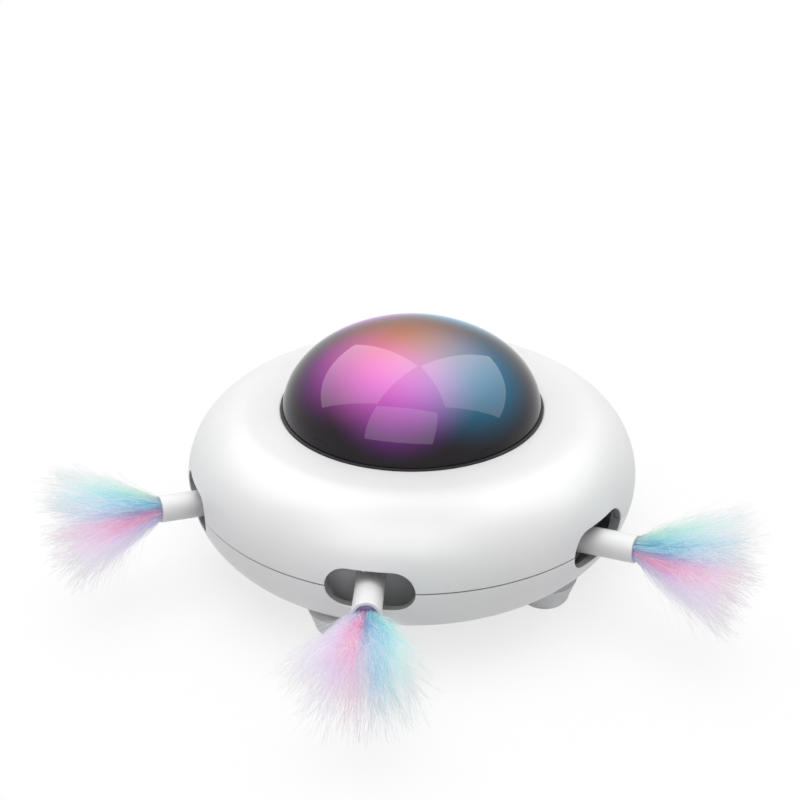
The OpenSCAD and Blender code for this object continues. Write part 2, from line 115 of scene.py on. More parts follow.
class Graph:
    """A node tree whose nodes all come from one method."""

    def __init__(self, tree):
        self.tree = tree

    def node(self, kind, sockets=None, out=0, **settings):
        """Adds a node, sets it up, feeds its sockets and returns one of its outputs."""
        made = self.tree.nodes.new(kind)
        for name, value in settings.items():
            if name == "stops":
                self.set_stops(made.color_ramp, value)
            else:
                setattr(made, name, value)
        for key, value in (sockets or {}).items():
            target = self.find_socket(made, key)
            for one in value if isinstance(value, list) else [value]:
                if isinstance(one, Value):
                    self.tree.links.new(one.socket, target)
                else:
                    target.default_value = one
        return Value(self, made.outputs[out]) if made.outputs else None

    @staticmethod
    def find_socket(made, key):
        if isinstance(key, int):
            return made.inputs[key]
        return next(s for s in made.inputs if s.name == key and s.enabled)

    @staticmethod
    def set_stops(ramp, stops):
        while len(ramp.elements) < len(stops):
            ramp.elements.new(1.0)
        for element, (place, colour) in zip(ramp.elements, stops):
            element.position = place
            element.color = (*colour, 1.0)

    def mix(self, factor, a, b, blend="MIX"):
        """Two colours mixed by a factor."""
        colours = [c if isinstance(c, Value) else (*c, 1.0) for c in (a, b)]
        sockets = {0: factor, 6: colours[0], 7: colours[1]}
        return self.node("ShaderNodeMix", sockets, 2, data_type="RGBA", blend_type=blend)

    def vector(self, operation, a, b, out=0):
        return self.node("ShaderNodeVectorMath", {0: a, 1: b}, out, operation=operation)

    def scaled(self, vector, factor):
        return self.node("ShaderNodeVectorMath", {0: vector, "Scale": factor}, operation="SCALE")

    def xyz(self, x, y, z):
        return self.node("ShaderNodeCombineXYZ", {0: x, 1: y, 2: z})


def emptied(data):
    """The cleared node tree of a material or a world."""
    data.use_nodes = True
    data.node_tree.nodes.clear()
    return data.node_tree


class Finish(Graph):
    """A material, built around one Principled shader."""

    def __init__(self, name):
        self.material = bpy.data.materials.new(name)
        super().__init__(emptied(self.material))
        self.place = self.node("ShaderNodeTexCoord").out("Object")

    def noise(self, scale, detail=3.0, stretch=None):
        """Noise of that many waves a metre, drawn out along an axis where stretch says so."""
        place = self.place
        if stretch:
            place = self.node("ShaderNodeMapping", {"Vector": place, "Scale": stretch})
        return self.node("ShaderNodeTexNoise", {"Vector": place, "Scale": scale, "Detail": detail})

    def bump(self, height, distance):
        return self.node("ShaderNodeBump", {"Height": height, "Distance": distance, "Strength": 1.0})

    def done(self, **sockets):
        """Feeds the Principled shader and returns the material."""
        named = {k.replace("_", " "): v for k, v in sockets.items()}
        shader = self.node("ShaderNodeBsdfPrincipled", named)
        self.node("ShaderNodeOutputMaterial", {"Surface": shader})
        return self.material


# Finishes

BLACK = (0.0, 0.0, 0.0)


def moulded_plastic(name, colour, rough, grain=0.00001):
    """Moulded plastic: a faint cloudiness in its colour and a fine sprayed grain."""
    f = Finish(name)
    cloud = f.noise(34.0)
    fine = f.noise(2600.0, 2.0)
    darker = tuple(0.965 * c for c in colour)
    tint = f.mix(cloud.ramp(0.35, 0.65), colour, darker)
    gloss = cloud * 0.07 + fine * 0.05 + (rough - 0.06)
    return f.done(Base_Color=tint, Roughness=gloss, Normal=f.bump(fine, grain), IOR=1.46)


def soft_rubber(name, colour):
    """Rubber: matt, with a coarser grain and patches of paler dust."""
    f = Finish(name)
    grain = f.noise(1500.0, 4.0)
    dust = f.noise(90.0, 3.0)
    pale = tuple(min(1.0, c * 1.12 + 0.012) for c in colour)
    tint = f.mix(dust.ramp(0.5, 0.75), colour, pale)
    return f.done(Base_Color=tint, Roughness=grain * 0.16 + 0.54, Normal=f.bump(grain, 0.00002))


def drawn_metal(name, colour, rough, stretch=(1.0, 1.0, 0.04)):
    """Metal with fine drawn lines."""
    f = Finish(name)
    lines = f.noise(5200.0, 2.0, stretch)
    stain = f.noise(120.0)
    dull = tuple(0.82 * c for c in colour)
    tint = f.mix(stain.ramp(0.4, 0.7), colour, dull)
    gloss = lines * 0.18 + (rough - 0.09)
    return f.done(Base_Color=tint, Roughness=gloss, Metallic=1.0, Normal=f.bump(lines, 0.000004))


def circuit_board(name):
    """Green lacquer with copper tracks under it."""
    f = Finish(name)
    sockets = {"Vector": f.place, "Scale": 260.0, "Mortar Size": 0.06,
               "Color1": (0, 0, 0, 1), "Color2": (0.2, 0.2, 0.2, 1), "Mortar": (1, 1, 1, 1)}
    cells = f.node("ShaderNodeTexBrick", sockets, 1, offset=0.37)
    tint = f.mix(cells, (0.008, 0.075, 0.03), (0.03, 0.19, 0.07))
    return f.done(Base_Color=tint, Roughness=f.noise(800.0) * 0.1 + 0.25, Normal=f.bump(cells, 0.00003))


def smoked_dome(looks):
    """Smoked glossy lens with a painted glow: coloured spots behind it each paint emission on the lens where
    the lens is near it, so the lens gives the light itself and no lamp stands behind it.
    """
    f = Finish("smoked_dome")
    foot_z = DOME_FOOT.z
    glow = None
    # Spots of the painted glow: colour, place from the middle of the lens's foot and reach in millimetres,
    # and power
    painted_glow_spots = (
        (looks.glow_violet, (-20.7, -16.4, 30.8), 26.8, 1.0),
        (looks.glow_magenta, (-3.2, -29.8, 25.8), 25.4, 1.0),
        (looks.glow_coral, (-3.3, -15.1, 35.8), 35.9, 1.0),
        (looks.glow_blue, (17.3, -20.0, 30.8), 30.7, 1.0),
        (looks.glow_magenta, (-15.0, 28.0, 21.0), 25.0, 0.9),
        (looks.glow_blue, (16.0, 27.0, 21.0), 26.0, 0.9),
    )
    for colour, spot, reach, power in painted_glow_spots:
        centre = (spot[0] * MM, spot[1] * MM, spot[2] * MM + foot_z)
        near = f.vector("DISTANCE", f.place, centre, "Value")
        lit = near.ramp(0.0, reach * MM, power, 0.0)
        one = f.mix(lit, BLACK, colour)
        glow = one if glow is None else f.mix(1.0, glow, one, "ADD")
    smear = f.noise(26.0, 4.0)
    rim = f.node("ShaderNodeSeparateXYZ", {0: f.place}, 2).ramp(foot_z, foot_z + 12 * MM)
    tint = f.mix(rim, (0.006, 0.003, 0.006), (0.012, 0.006, 0.012))
    gloss = smear * 0.03 + 0.01
    # The emission is painted light: the lens glows by itself, in place of a lamp shining through it.
    return f.done(Base_Color=tint, Roughness=gloss, Emission_Color=glow, Emission_Strength=1.0, IOR=1.34)


def dyed_strands(looks):
    """Dyed feather strands: hues run across the tuft to pale tips, with painted shade darkening the roots and
    a painted glow of emission.
    """
    f = Finish("dyed_strands")

    def read(name):
        return f.node("ShaderNodeAttribute", attribute_name=name).out("Fac")

    across, along, spare = read("strand_across"), read("strand_along"), read("strand_spare")
    hue_at = across * 0.5 + spare * 0.08 + 0.46
    stops = [
        (0.08, looks.lavender), (0.26, looks.lilac), (0.35, looks.pink), (0.45, looks.pink),
        (0.52, looks.purple), (0.58, looks.sky), (0.67, looks.sky), (0.78, looks.teal), (0.90, looks.mint),
    ]
    hue = f.node("ShaderNodeValToRGB", {0: hue_at}, stops=stops)
    faded = f.mix(along.ramp(0.4, 1.15, 0.0, 0.66), hue, (0.98, 0.92, 0.96))
    # Painted shade: the roots darken towards a dull blue, where the core of the tuft and the wand's mouth
    # shade them.
    deep = f.mix(along.ramp(0.0, 0.4, 0.62, 0.0), faded, (0.34, 0.40, 0.62))
    pale = f.mix(spare.ramp(0.88, 0.94), deep, (0.97, 0.96, 0.98))
    # Painted glow: the strands emit their colour, more strongly towards the tips, which brightens them.
    painted_tip_glow = f.mix(along.ramp(0.25, 1.0, 0.5, 1.0), BLACK, pale)
    return f.done(
        Base_Color=pale, Roughness=spare * 0.2 + 0.45, IOR=1.35,
        Subsurface_Weight=1.0, Subsurface_Radius=(1.0, 1.0, 1.0), Subsurface_Scale=0.4 * MM,
        Emission_Color=painted_tip_glow, Emission_Strength=looks.glow,
    )


# Meshes

def new_piece(name, mesh, *finishes):
    piece = bpy.data.objects.new(name, mesh)
    bpy.context.scene.collection.objects.link(piece)
    for finish in finishes:
        mesh.materials.append(finish)
    return piece


def carry(piece, body, slot, *nodes):
    """Rides a piece on a body and hides the nodes that it stands for. Its slot is not used."""
    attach(piece, body)
    if nodes:
        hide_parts(*nodes)


def dress(finish, *names):
    """Gives CAD nodes a finish."""
    for name in names:
        mesh = NODES[name].data
        mesh.materials.clear()
        mesh.materials.append(finish)


def sided(*names):
    """The names of pieces of which each wand has one."""
    return [name + "_" + side for name in names for side in SIDES]


def mesh_of(points, faces, name="shape"):
    mesh = bpy.data.meshes.new(name)
    mesh.from_pydata(points, [], faces)
    mesh.validate()
    return mesh


def tidy_mesh(mesh):
    """Merges doubles, turns the faces outwards and shades smooth where the angle is small."""
    bm = bmesh.new()
    bm.from_mesh(mesh)
    bmesh.ops.remove_doubles(bm, verts=bm.verts, dist=1e-7)
    bmesh.ops.recalc_face_normals(bm, faces=bm.faces)
    bm.to_mesh(mesh)
    bm.free()
    shade(mesh, 35)
    return mesh


def shade(mesh, angle):
    """Shades smooth below an angle in degrees."""
    mesh.polygons.foreach_set("use_smooth", [True] * len(mesh.polygons))
    mesh.set_sharp_from_angle(angle=math.radians(angle))


def skin(rings, name, closed=False, caps=False):
    """A skin from ring to ring of points, where a ring of one point is a pole.

    A closed skin goes on from the last ring to the first, and caps are flat ends.
    """
    points, rows, faces = [], [], []
    around = max(len(ring) for ring in rings)
    for ring in rings:
        rows.append([len(points) + k % len(ring) for k in range(around)])
        points += ring
    if caps:
        faces += [rows[0], rows[-1]]
    for low, high in list(zip(rows, rows[1:])) + ([(rows[-1], rows[0])] if closed else []):
        for k in range(around):
            n = (k + 1) % around
            corners = list(dict.fromkeys([low[k], low[n], high[n], high[k]]))
            if len(corners) > 2:
                faces.append(corners)
    return tidy_mesh(mesh_of(points, faces, name))


def lathe(profile, segments, closed=True, name="lathe"):
    """A profile of (radius, height) turned about Z: a closed one is a ring, an open one ends on the axis."""
    turns = [2 * math.pi * k / segments for k in range(segments)]

    def ring(r, z):
        return [(r * math.cos(t), r * math.sin(t), z) for t in turns] if r > 1e-9 else [(0.0, 0.0, z)]

    return skin([ring(r, z) for r, z in profile], name, closed)


def arc(centre, radius, start, end, steps):
    """Points on an arc, as (radius, height), angles in degrees."""
    turns = [math.radians(start + (end - start) * i / steps) for i in range(steps + 1)]
    return [(centre[0] + radius * math.cos(t), centre[1] + radius * math.sin(t)) for t in turns]


def box_mesh(low, high, name="box"):
    corners = ((low[1], low[2]), (low[1], high[2]), (high[1], high[2]), (high[1], low[2]))
    return skin([[(x, y, z) for y, z in corners] for x in (low[0], high[0])], name, caps=True)


def joined(meshes):
    """Several meshes in one."""
    bm = bmesh.new()
    for mesh in meshes:
        bm.from_mesh(mesh)
    result = bpy.data.meshes.new("joined")
    bm.to_mesh(result)
    bm.free()
    return result


def moved(mesh, matrix):
    copy = mesh.copy()
    copy.transform(matrix)
    return copy


def carve(mesh, *steps):
    """Runs exact booleans on a mesh: each step is an operation and a mesh."""
    base = new_piece("carve_base", mesh)
    helpers = []
    for operation, tool in steps:
        helper = new_piece("carve_tool", tool)
        helpers.append(helper)
        cut = base.modifiers.new("cut", "BOOLEAN")
        cut.operation = operation
        cut.solver = "EXACT"
        cut.use_self = False
        cut.object = helper
    depsgraph = bpy.context.evaluated_depsgraph_get()
    result = bpy.data.meshes.new_from_object(base.evaluated_get(depsgraph))
    for spare in [base, *helpers]:
        bpy.data.objects.remove(spare)
    result.materials.clear()
    return result


def set_round_normals(mesh, surface_normal):
    """Gives the faces on a turned surface that surface's own normals, and leaves the others as shaded."""
    shade(mesh, 30)
    nearly = 0.94
    normals = []
    for face in mesh.polygons:
        for index in face.vertices:
            true = surface_normal(mesh.vertices[index].co)
            fits = true is not None and true.dot(face.normal) > nearly
            normals.append(true if fits else Vector((0.0, 0.0, 0.0)))
    mesh.normals_split_custom_set(normals)


def grow(piece, tree, angle, values):
    """Runs a Geometry Nodes tree on a piece and keeps the result as a plain mesh, smooth below an angle."""
    modifier = piece.modifiers.new("grow", "NODES")
    modifier.node_group = tree
    for item in tree.interface.items_tree:
        if item.item_type == "SOCKET" and item.in_out == "INPUT" and item.name in values:
            modifier[item.identifier] = values[item.name]
    piece.update_tag()
    depsgraph = bpy.context.evaluated_depsgraph_get()
    result = bpy.data.meshes.new_from_object(piece.evaluated_get(depsgraph))
    piece.modifiers.remove(modifier)
    piece.data = result
    shade(result, angle)


def growing_tree(name, inputs):
    """An empty Geometry Nodes tree with named inputs, its graph, and its inputs by name."""
    tree = bpy.data.node_groups.new(name, "GeometryNodeTree")
    tree.interface.new_socket("Geometry", in_out="INPUT", socket_type="NodeSocketGeometry")
    for label, kind in inputs.items():
        tree.interface.new_socket(label, in_out="INPUT", socket_type="NodeSocket" + kind)
    tree.interface.new_socket("Geometry", in_out="OUTPUT", socket_type="NodeSocketGeometry")
    graph = Graph(tree)
    entry = graph.node("NodeGroupInput")
    return tree, graph, {label: entry.out(label) for label in ["Geometry", *inputs]}


def close_tree(graph, geometry, finish):
    """Ends a tree in real geometry of one finish."""
    real = graph.node("GeometryNodeRealizeInstances", {"Geometry": geometry})
    done = graph.node("GeometryNodeSetMaterial", {"Geometry": real, "Material": finish})
    graph.node("NodeGroupOutput", {"Geometry": done})


def crossing(past, low, high):
    """The place between low and high from which past is true, by halving."""
    for _ in range(40):
        middle = (low + high) / 2
        low, high = (low, middle) if past(middle) else (middle, high)
    return high


# Sizes and colours that a user may change

LIP_HEIGHT = 2 * MM


def count(label, text, default, **kind):
    return IntProperty(name=label, description=text, default=default, **kind)


def number(label, text, default, **kind):
    return FloatProperty(name=label, description=text, default=default, **kind)


def size(label, text, default):
    return number(label, text, default, unit="LENGTH", subtype="DISTANCE", precision=5)


def dye(label, text, default):
    return FloatVectorProperty(
        name=label, description=text, default=default, size=3, min=0.0, max=1.0, subtype="COLOR")


class ToyBody(bpy.types.PropertyGroup):
    """The two shells, their slots and the feet."""
    radius: size("Radius", "Radius of the body at its seam", SHELL_TOP.x)
    seam: size("Seam height", "Height of the seam above the floor", LIP_TOP.z - LIP_HEIGHT)
    top: size("Top height", "Height of the flat ring round the dome", SHELL_TOP.z)
    bottom: size("Bottom height", "Height of the underside", FLOOR_OF_SHELL.z)
    wall: size("Wall", "Wall thickness of the shells", 2 * MM)
    seam_gap: size("Seam gap", "Open line between the shells", 0.32 * MM)
    slot_width: size("Slot width", "Width of a slot along the side", 23 * MM)
    slot_height: size("Slot height", "Height of a slot", 11.4 * MM)
    slot_rim: size("Slot rim", "Rounding of a slot's edge", 0.35 * MM)
    white: dye("White", "Colour of the shells and the wands", (0.86, 0.86, 0.86))
    foot_grey: dye("Foot grey", "Colour of the feet", (0.80, 0.81, 0.81))
    # Slot grey is painted shade: the shells are white all through, and this darker grey stands for the shade
    # in their slots and insides.
    slot_painted_shade: dye("Slot grey", "Colour of the slots' walls", (0.32, 0.32, 0.323))
    inner_grey: dye("Inner grey", "Colour of what is seen in the slots", (0.74, 0.74, 0.745))


class ToyDome(bpy.types.PropertyGroup):
    """The lens and the colours of the glow painted on it as emission."""
    radius: size("Radius", "Radius of the lens", DOME_TOP.x)
    height: size("Height", "Height of the lens above its seat", DOME_TOP.z - DOME_FOOT.z)
    wall: size("Wall", "Wall thickness of the lens", 2 * MM)
    # Painted glow: these colours are emitted by the lens's own surface.
    glow_violet: dye("Violet glow", "Light at the left of the lens", (0.42, 0.0, 0.57))
    glow_magenta: dye("Magenta glow", "Light at the front of the lens", (0.48, 0.035, 0.70))
    glow_coral: dye("Coral glow", "Light at the top of the lens", (0.85, 0.29, 0.12))
    glow_blue: dye("Blue glow", "Light at the right of the lens", (0.0, 0.35, 0.63))


class ToyTuft(bpy.types.PropertyGroup):
    """The wands and the tufts in their mouths."""
    strands: count("Strands", "Number of strands in a tuft", 3000, min=100, max=4000)
    length: size("Length", "Length of the longest strands", 30.5 * MM)
    spread: size("Spread", "Sideways spread at the end of a tuft", 20 * MM)
    droop: size("Droop", "Sag at the end of a tuft", 1 * MM)
    thickness: size("Thickness", "Thickness of a strand at its root", 0.12 * MM)
    # The glow is painted light: emission on the strands, not light that passes between them.
    glow: number("Glow", "Share of light that strands pass on to each other", 0.17, min=0.0, max=1.0)
    seed: count("Seed", "Seed of the random lengths and curls", 5, min=0)
    lavender: dye("Lavender", "First hue across a tuft", (0.80, 0.76, 0.97))
    lilac: dye("Lilac", "Second hue", (0.70, 0.54, 0.90))
    pink: dye("Pink", "Third hue", (0.97, 0.36, 0.60))
    purple: dye("Purple", "Hue in the middle of a tuft", (0.48, 0.42, 0.72))
    sky: dye("Sky blue", "Fifth hue", (0.16, 0.58, 0.80))
    teal: dye("Teal", "Sixth hue", (0.30, 0.80, 0.88))
    mint: dye("Mint", "Last hue across a tuft", (0.62, 0.94, 0.80))


class ToyStage(bpy.types.PropertyGroup):
    """The floor, the light and the camera."""
    floor: dye("Floor", "Colour of the floor and of the background", (1.0, 1.0, 1.0))
    key_power: number("Key light", "Power of the large light", 5.5, unit="POWER")
    fill: number("Fill light", "Strength of the light from all round", 0.62)
    softbox: number("Softboxes", "Brightness of the panels that glossy surfaces show", 4.0)
    aim: size("Aim", "Height of the point that the camera looks at", 27 * MM)
    distance: size("Distance", "Distance of the camera from that point", 330 * MM)
    elevation: number("Elevation", "Height angle of the camera", math.radians(30.66), subtype="ANGLE")
    azimuth: number("Azimuth", "Turn of the camera from the front", math.radians(1.5), subtype="ANGLE")
    lens: number("Lens", "Focal length on a 36 mm sensor", 50.33)


# Places on the body

SLOT_COUNT = 6
WAND_OFFSET = 9 * MM
WAND_TILT = math.radians(8)
WAND_RADIUS = 3.75 * MM
WAND_BORE = 2.75 * MM
WAND_LENGTH = 45 * MM
WAND_DROP = 0.8 * MM
WAND_REACH = 74.5 * MM
SERVICE_X = 6.5 * MM
SERVICE_STEP = 3.5
SCREW_DEPTH = 8 * MM
SCREW_INSET = 11 * MM
RIM_FLARE = 0.4 * MM
CUT_PAST = 4 * MM


def slot_turn(body, k):
    return -math.asin(WAND_OFFSET / body.radius) + k * math.tau / SLOT_COUNT


def wand_mouth():
    return math.sqrt(WAND_REACH ** 2 - WAND_OFFSET ** 2) / math.cos(WAND_TILT)


def wand_frame(body, k):
    """The frame of wand k: x sideways, y up, z outwards from the body's middle."""
    along = math.sqrt(body.radius ** 2 - WAND_OFFSET ** 2)
    root = body.seam - WAND_DROP - along * math.tan(WAND_TILT)
    return (
        Matrix.Rotation((k - 1) * math.tau / SLOT_COUNT, 4, "Z")
        @ Matrix.Translation((-WAND_OFFSET, 0.0, root))
        @ Matrix.Rotation(math.pi / 2 - WAND_TILT, 4, "X")
    )


def rounding(body, z):
    """Radius of the body's rounded side at a height, and how far its centre lies from the axis."""
    round_r = body.top - body.seam if z >= body.seam else body.seam - body.bottom
    return round_r, body.radius - round_r


def side_radius(body, z):
    """Radius of the outside of the body at a height."""
    round_r, middle = rounding(body, z)
    rise = min(abs(z - body.seam), round_r)
    return middle + math.sqrt(round_r ** 2 - rise ** 2)


def under_height(body, r):
    """Height of the underside of the body at a radius."""
    round_r, middle = rounding(body, body.bottom)
    out = max(0.0, r - middle)
    return body.seam - math.sqrt(max(0.0, round_r ** 2 - out ** 2))


def shell_normal(body):
    """A function that gives the outside normal at a point on the body, or None off it."""
    near = 0.03 * MM

    def normal(p):
        r = math.hypot(p.x, p.y)
        round_r, middle = rounding(body, p.z)
        if r < middle:
            if abs(p.z - body.top) < near:
                return Vector((0.0, 0.0, 1.0))
            return Vector((0.0, 0.0, -1.0)) if abs(p.z - body.bottom) < near else None
        out, up = r - middle, p.z - body.seam
        if abs(math.hypot(out, up) - round_r) > near:
            return None
        return Vector((p.x / r * out, p.y / r * out, up)).normalized()

    return normal


def long_outline(width, height):
    """Points and outward normals of a long hole with round ends."""
    steps, parts = 14, 6
    half = (width - height) / 2
    pairs = []
    for side, start in ((1, -90), (-1, 90)):
        for i in range(steps + 1):
            t = math.radians(start + 180 * i / steps)
            n = (math.cos(t), math.sin(t))
            pairs.append(((side * half + n[0] * height / 2, n[1] * height / 2), n))
        for i in range(1, parts):
            x = side * half * (1 - 2 * i / parts)
            pairs.append(((x, side * height / 2), (0.0, side)))
    return pairs


def rim_cutter(body, turn, x_mid, z_mid, width, height, rim):
    """A cutting shape for a hole in the body's side whose edge comes out rounded."""
    outline = long_outline(width, height)
    inner = rounding(body, body.top)[1]

    def ring(offset, lift):
        points = []
        for (x, z), n in outline:
            px, pz = x_mid + x + offset * n[0], z_mid + z + offset * n[1]
            points.append((px, -(math.sqrt(side_radius(body, pz) ** 2 - px ** 2) + lift), pz))
        return points

    rings = [[(x_mid + x, -inner, z_mid + z) for (x, z), n in outline], ring(0.0, -rim)]
    for degrees in (20, 40, 60, 75):
        t = math.radians(degrees)
        rings.append(ring(rim * (1 - math.cos(t)), -rim * (1 - math.sin(t))))
    flare = rim * (1 - math.cos(t)) + RIM_FLARE * math.sin(t)
    rings.append(ring(flare, -rim * (1 - math.sin(t)) + RIM_FLARE * math.cos(t)))
    far = body.radius + CUT_PAST
    rings.append([(x_mid + x + flare * n[0], -far, z_mid + z + flare * n[1]) for (x, z), n in outline])
    return moved(skin(rings, "rim_cutter", caps=True), Matrix.Rotation(turn, 4, "Z"))


def slot_cutters(body):
    hole = (0.0, body.seam, body.slot_width, body.slot_height, body.slot_rim)
    return joined([rim_cutter(body, slot_turn(body, k), *hole) for k in range(SLOT_COUNT)])


def screw_places(body):
    """Where the three screws of the shells stand."""
    out = Matrix.Translation((0.0, -(body.radius - SCREW_INSET), 0.0))
    return [Matrix.Rotation(slot_turn(body, k + 0.5), 4, "Z") @ out for k in (0, 2, 4)]


# Operators

class TOY_OT_shells(bpy.types.Operator):
    """Turn the two shells and cut their slots, holes and screw wells"""
    bl_idname = "toy.shells"
    bl_label = "Shells"

    SEGMENTS = 240
    SOFT_EDGE = 0.25 * MM
    CREASE = 0.07 * MM
    # What takes the grey of painted shade inside a slot: how deep and how high it lies, and how far it may
    # face outwards
    RIM_DEPTH = 0.45 * MM
    PAINTED_SHADE_ABOVE = 9 * MM
    OUTWARD = 0.8
    OUTER_STEPS = 26
    INNER_STEPS = 16
    # Radii of the flat ring round the dome, from the outside to the crease at its hole
    FLAT_RING = (42 * MM, 38.1 * MM, 37.85 * MM)
    # The dome's seat, as radius and height in millimetres
    SEAT = ((37.6, 44.7), (37.6, 43.6), (34.0, 43.6), (34.0, 41.4), (40.2, 41.4), (40.2, 43.0))
    # The lip that holds the shells together
    LIP_OUT = 2.4 * MM
    LIP_IN = 3.2 * MM
    LIP_ROOT = 4 * MM
    LIP_LEAVE = 4.2 * MM
    FLOOR_RINGS = (20 * MM, 36 * MM)
    # The posts and wells of the screws
    POST_RADIUS = 3.45 * MM
    POST_BELOW = 0.4 * MM
    HEAD_WELL = 3.05 * MM
    SHANK_WELL = 1.45 * MM
    SHANK_DEEP = 14 * MM
    # The holes at the back
    INLET_HOLE = (9.4 * MM, 3.6 * MM)
    BUTTON_HOLE = (7.42 * MM, 7.4 * MM)
    HOLE_RIM = 0.25 * MM

    def execute(self, context):
        body = context.scene.toy_body
        finishes = [moulded_plastic("satin_white", body.white, 0.36),
                    moulded_plastic("slot_painted_shade", body.slot_painted_shade, 0.5)]
        upper = carve(lathe(self.upper_profile(body), self.SEGMENTS), ("DIFFERENCE", slot_cutters(body)))
        self.place("shell_upper", upper, body, finishes, "upper_shell")
        lower = carve(
            lathe(self.lower_profile(body), self.SEGMENTS),
            ("UNION", self.bosses(body)),
            ("DIFFERENCE", slot_cutters(body)),
            ("DIFFERENCE", self.wells(body)),
            ("DIFFERENCE", self.service_holes(body)),
        )
        self.place("shell_lower", lower, body, finishes, "lower_shell")
        return {"FINISHED"}

    def place(self, name, mesh, body, finishes, node):
        for face in mesh.polygons:
            outward = Vector((face.center.x, face.center.y, 0.0)).normalized().dot(face.normal)
            # Painted shade: faces in the slots and inside the shells take the darker grey.
            face.material_index = int(outward < self.OUTWARD and self.in_slot_shade(body, face.center))
        set_round_normals(mesh, shell_normal(body))
        carry(new_piece(name, mesh, *finishes), "housing", "white_plastic", node)

    def in_slot_shade(self, body, p):
        """True on the walls of the side holes and on the inside behind them, where the slot grey paints the
        shade that falls there on the white shells.
        """
        round_r, middle = rounding(body, p.z)
        out = math.hypot(p.x, p.y) - middle
        deep = round_r - math.hypot(out, p.z - body.seam)
        return out > 0.0 and deep > self.RIM_DEPTH and p.z > body.bottom + self.PAINTED_SHADE_ABOVE

    def side(self, body, z):
        """Centre, outer and inner radius of a shell's round, and the angle where it ends at the seam."""
        round_r, middle = rounding(body, z)
        start = math.degrees(math.asin((body.seam_gap / 2 + self.SOFT_EDGE) / round_r))
        return (middle, body.seam), round_r, round_r - body.wall, start

    def upper_profile(self, body):
        middle, outer, inner, start = self.side(body, body.top)
        low = body.seam + body.seam_gap / 2
        flat, hole, edge = self.FLAT_RING
        profile = [(body.radius - self.SOFT_EDGE, low), (body.radius - self.CREASE, low + self.CREASE)]
        profile += arc(middle, outer, start, 90, self.OUTER_STEPS)
        profile += [(flat, body.top), (hole, body.top), (edge, body.top - self.CREASE)]
        profile += [(r * MM, z * MM) for r, z in self.SEAT]
        leave = math.degrees(math.asin(body.seam_gap / 2 / inner))
        return profile + arc(middle, inner, 90, leave, self.INNER_STEPS)

    def lower_profile(self, body):
        middle, outer, inner, start = self.side(body, body.bottom)
        high = body.seam - body.seam_gap / 2
        lip_in, lip_out = body.radius - self.LIP_IN, body.radius - self.LIP_OUT
        lip_top, lip_root = body.seam + LIP_HEIGHT, body.seam - self.LIP_ROOT
        near, far = self.FLOOR_RINGS
        profile = [(0.0, body.bottom), (near, body.bottom), (far, body.bottom)]
        profile += arc(middle, outer, -90, -start, self.OUTER_STEPS)
        profile += [(body.radius - self.CREASE, high - self.CREASE), (body.radius - self.SOFT_EDGE, high)]
        profile += [(lip_out, high), (lip_out, lip_top), (lip_in, lip_top), (lip_in, lip_root)]
        leave = -math.degrees(math.asin(self.LIP_LEAVE / inner))
        profile += arc(middle, inner, leave, -90, self.INNER_STEPS)
        return profile + [(near, body.bottom + body.wall), (0.0, body.bottom + body.wall)]

    def bosses(self, body):
        """The three screw posts, cut to the inside of the shell."""
        r, top = self.POST_RADIUS, body.seam - self.POST_BELOW
        post = lathe([(0.0, body.bottom), (r, body.bottom), (r, top), (0.0, top)], 32, False)
        posts = joined([moved(post, place) for place in screw_places(body)])
        round_r = body.seam - body.bottom - body.wall / 2
        inside = [(0.0, body.seam - round_r)]
        inside += arc((body.radius - round_r - body.wall / 2, body.seam), round_r, -90, 0, 24)
        inside += [(0.0, body.seam)]
        return carve(posts, ("INTERSECT", lathe(inside, 96, False)))

    def wells(self, body):
        rest = body.bottom + SCREW_DEPTH
        end = rest + self.SHANK_DEEP
        head, shank = self.HEAD_WELL, self.SHANK_WELL
        profile = [(0.0, 0.0), (head, 0.0), (head, rest), (shank, rest), (shank, end), (0.0, end)]
        return joined([moved(lathe(profile, 40, False), place) for place in screw_places(body)])

    def service_holes(self, body):
        turn = slot_turn(body, SERVICE_STEP)
        return joined([
            rim_cutter(body, turn, x, SERVICE_Z, *hole, self.HOLE_RIM)
            for x, hole in ((-SERVICE_X, self.INLET_HOLE), (SERVICE_X, self.BUTTON_HOLE))
        ])


class TOY_OT_dome(bpy.types.Operator):
    """Turn the smoked lens and give its gasket a finish"""
    bl_idname = "toy.dome"
    bl_label = "Dome"

    def execute(self, context):
        dome = context.scene.toy_dome
        foot = DOME_FOOT.z
        steps = 56

        def half(radius, height, turns):
            return [(radius * math.sin(t), foot + height * math.cos(t)) for t in turns]

        turns = [math.pi / 2 * i / steps for i in range(steps + 1)]
        profile = half(dome.radius, dome.height, turns)
        profile += half(dome.radius - dome.wall, dome.height - dome.wall, turns[::-4])
        mesh = lathe(profile, 144, False, "dome")
        carry(new_piece("dome", mesh, smoked_dome(dome)), "housing", "smoked_dome", "dome_lens")
        dress(soft_rubber("gasket_black", (0.012, 0.012, 0.013)), "dome_gasket")
        return {"FINISHED"}


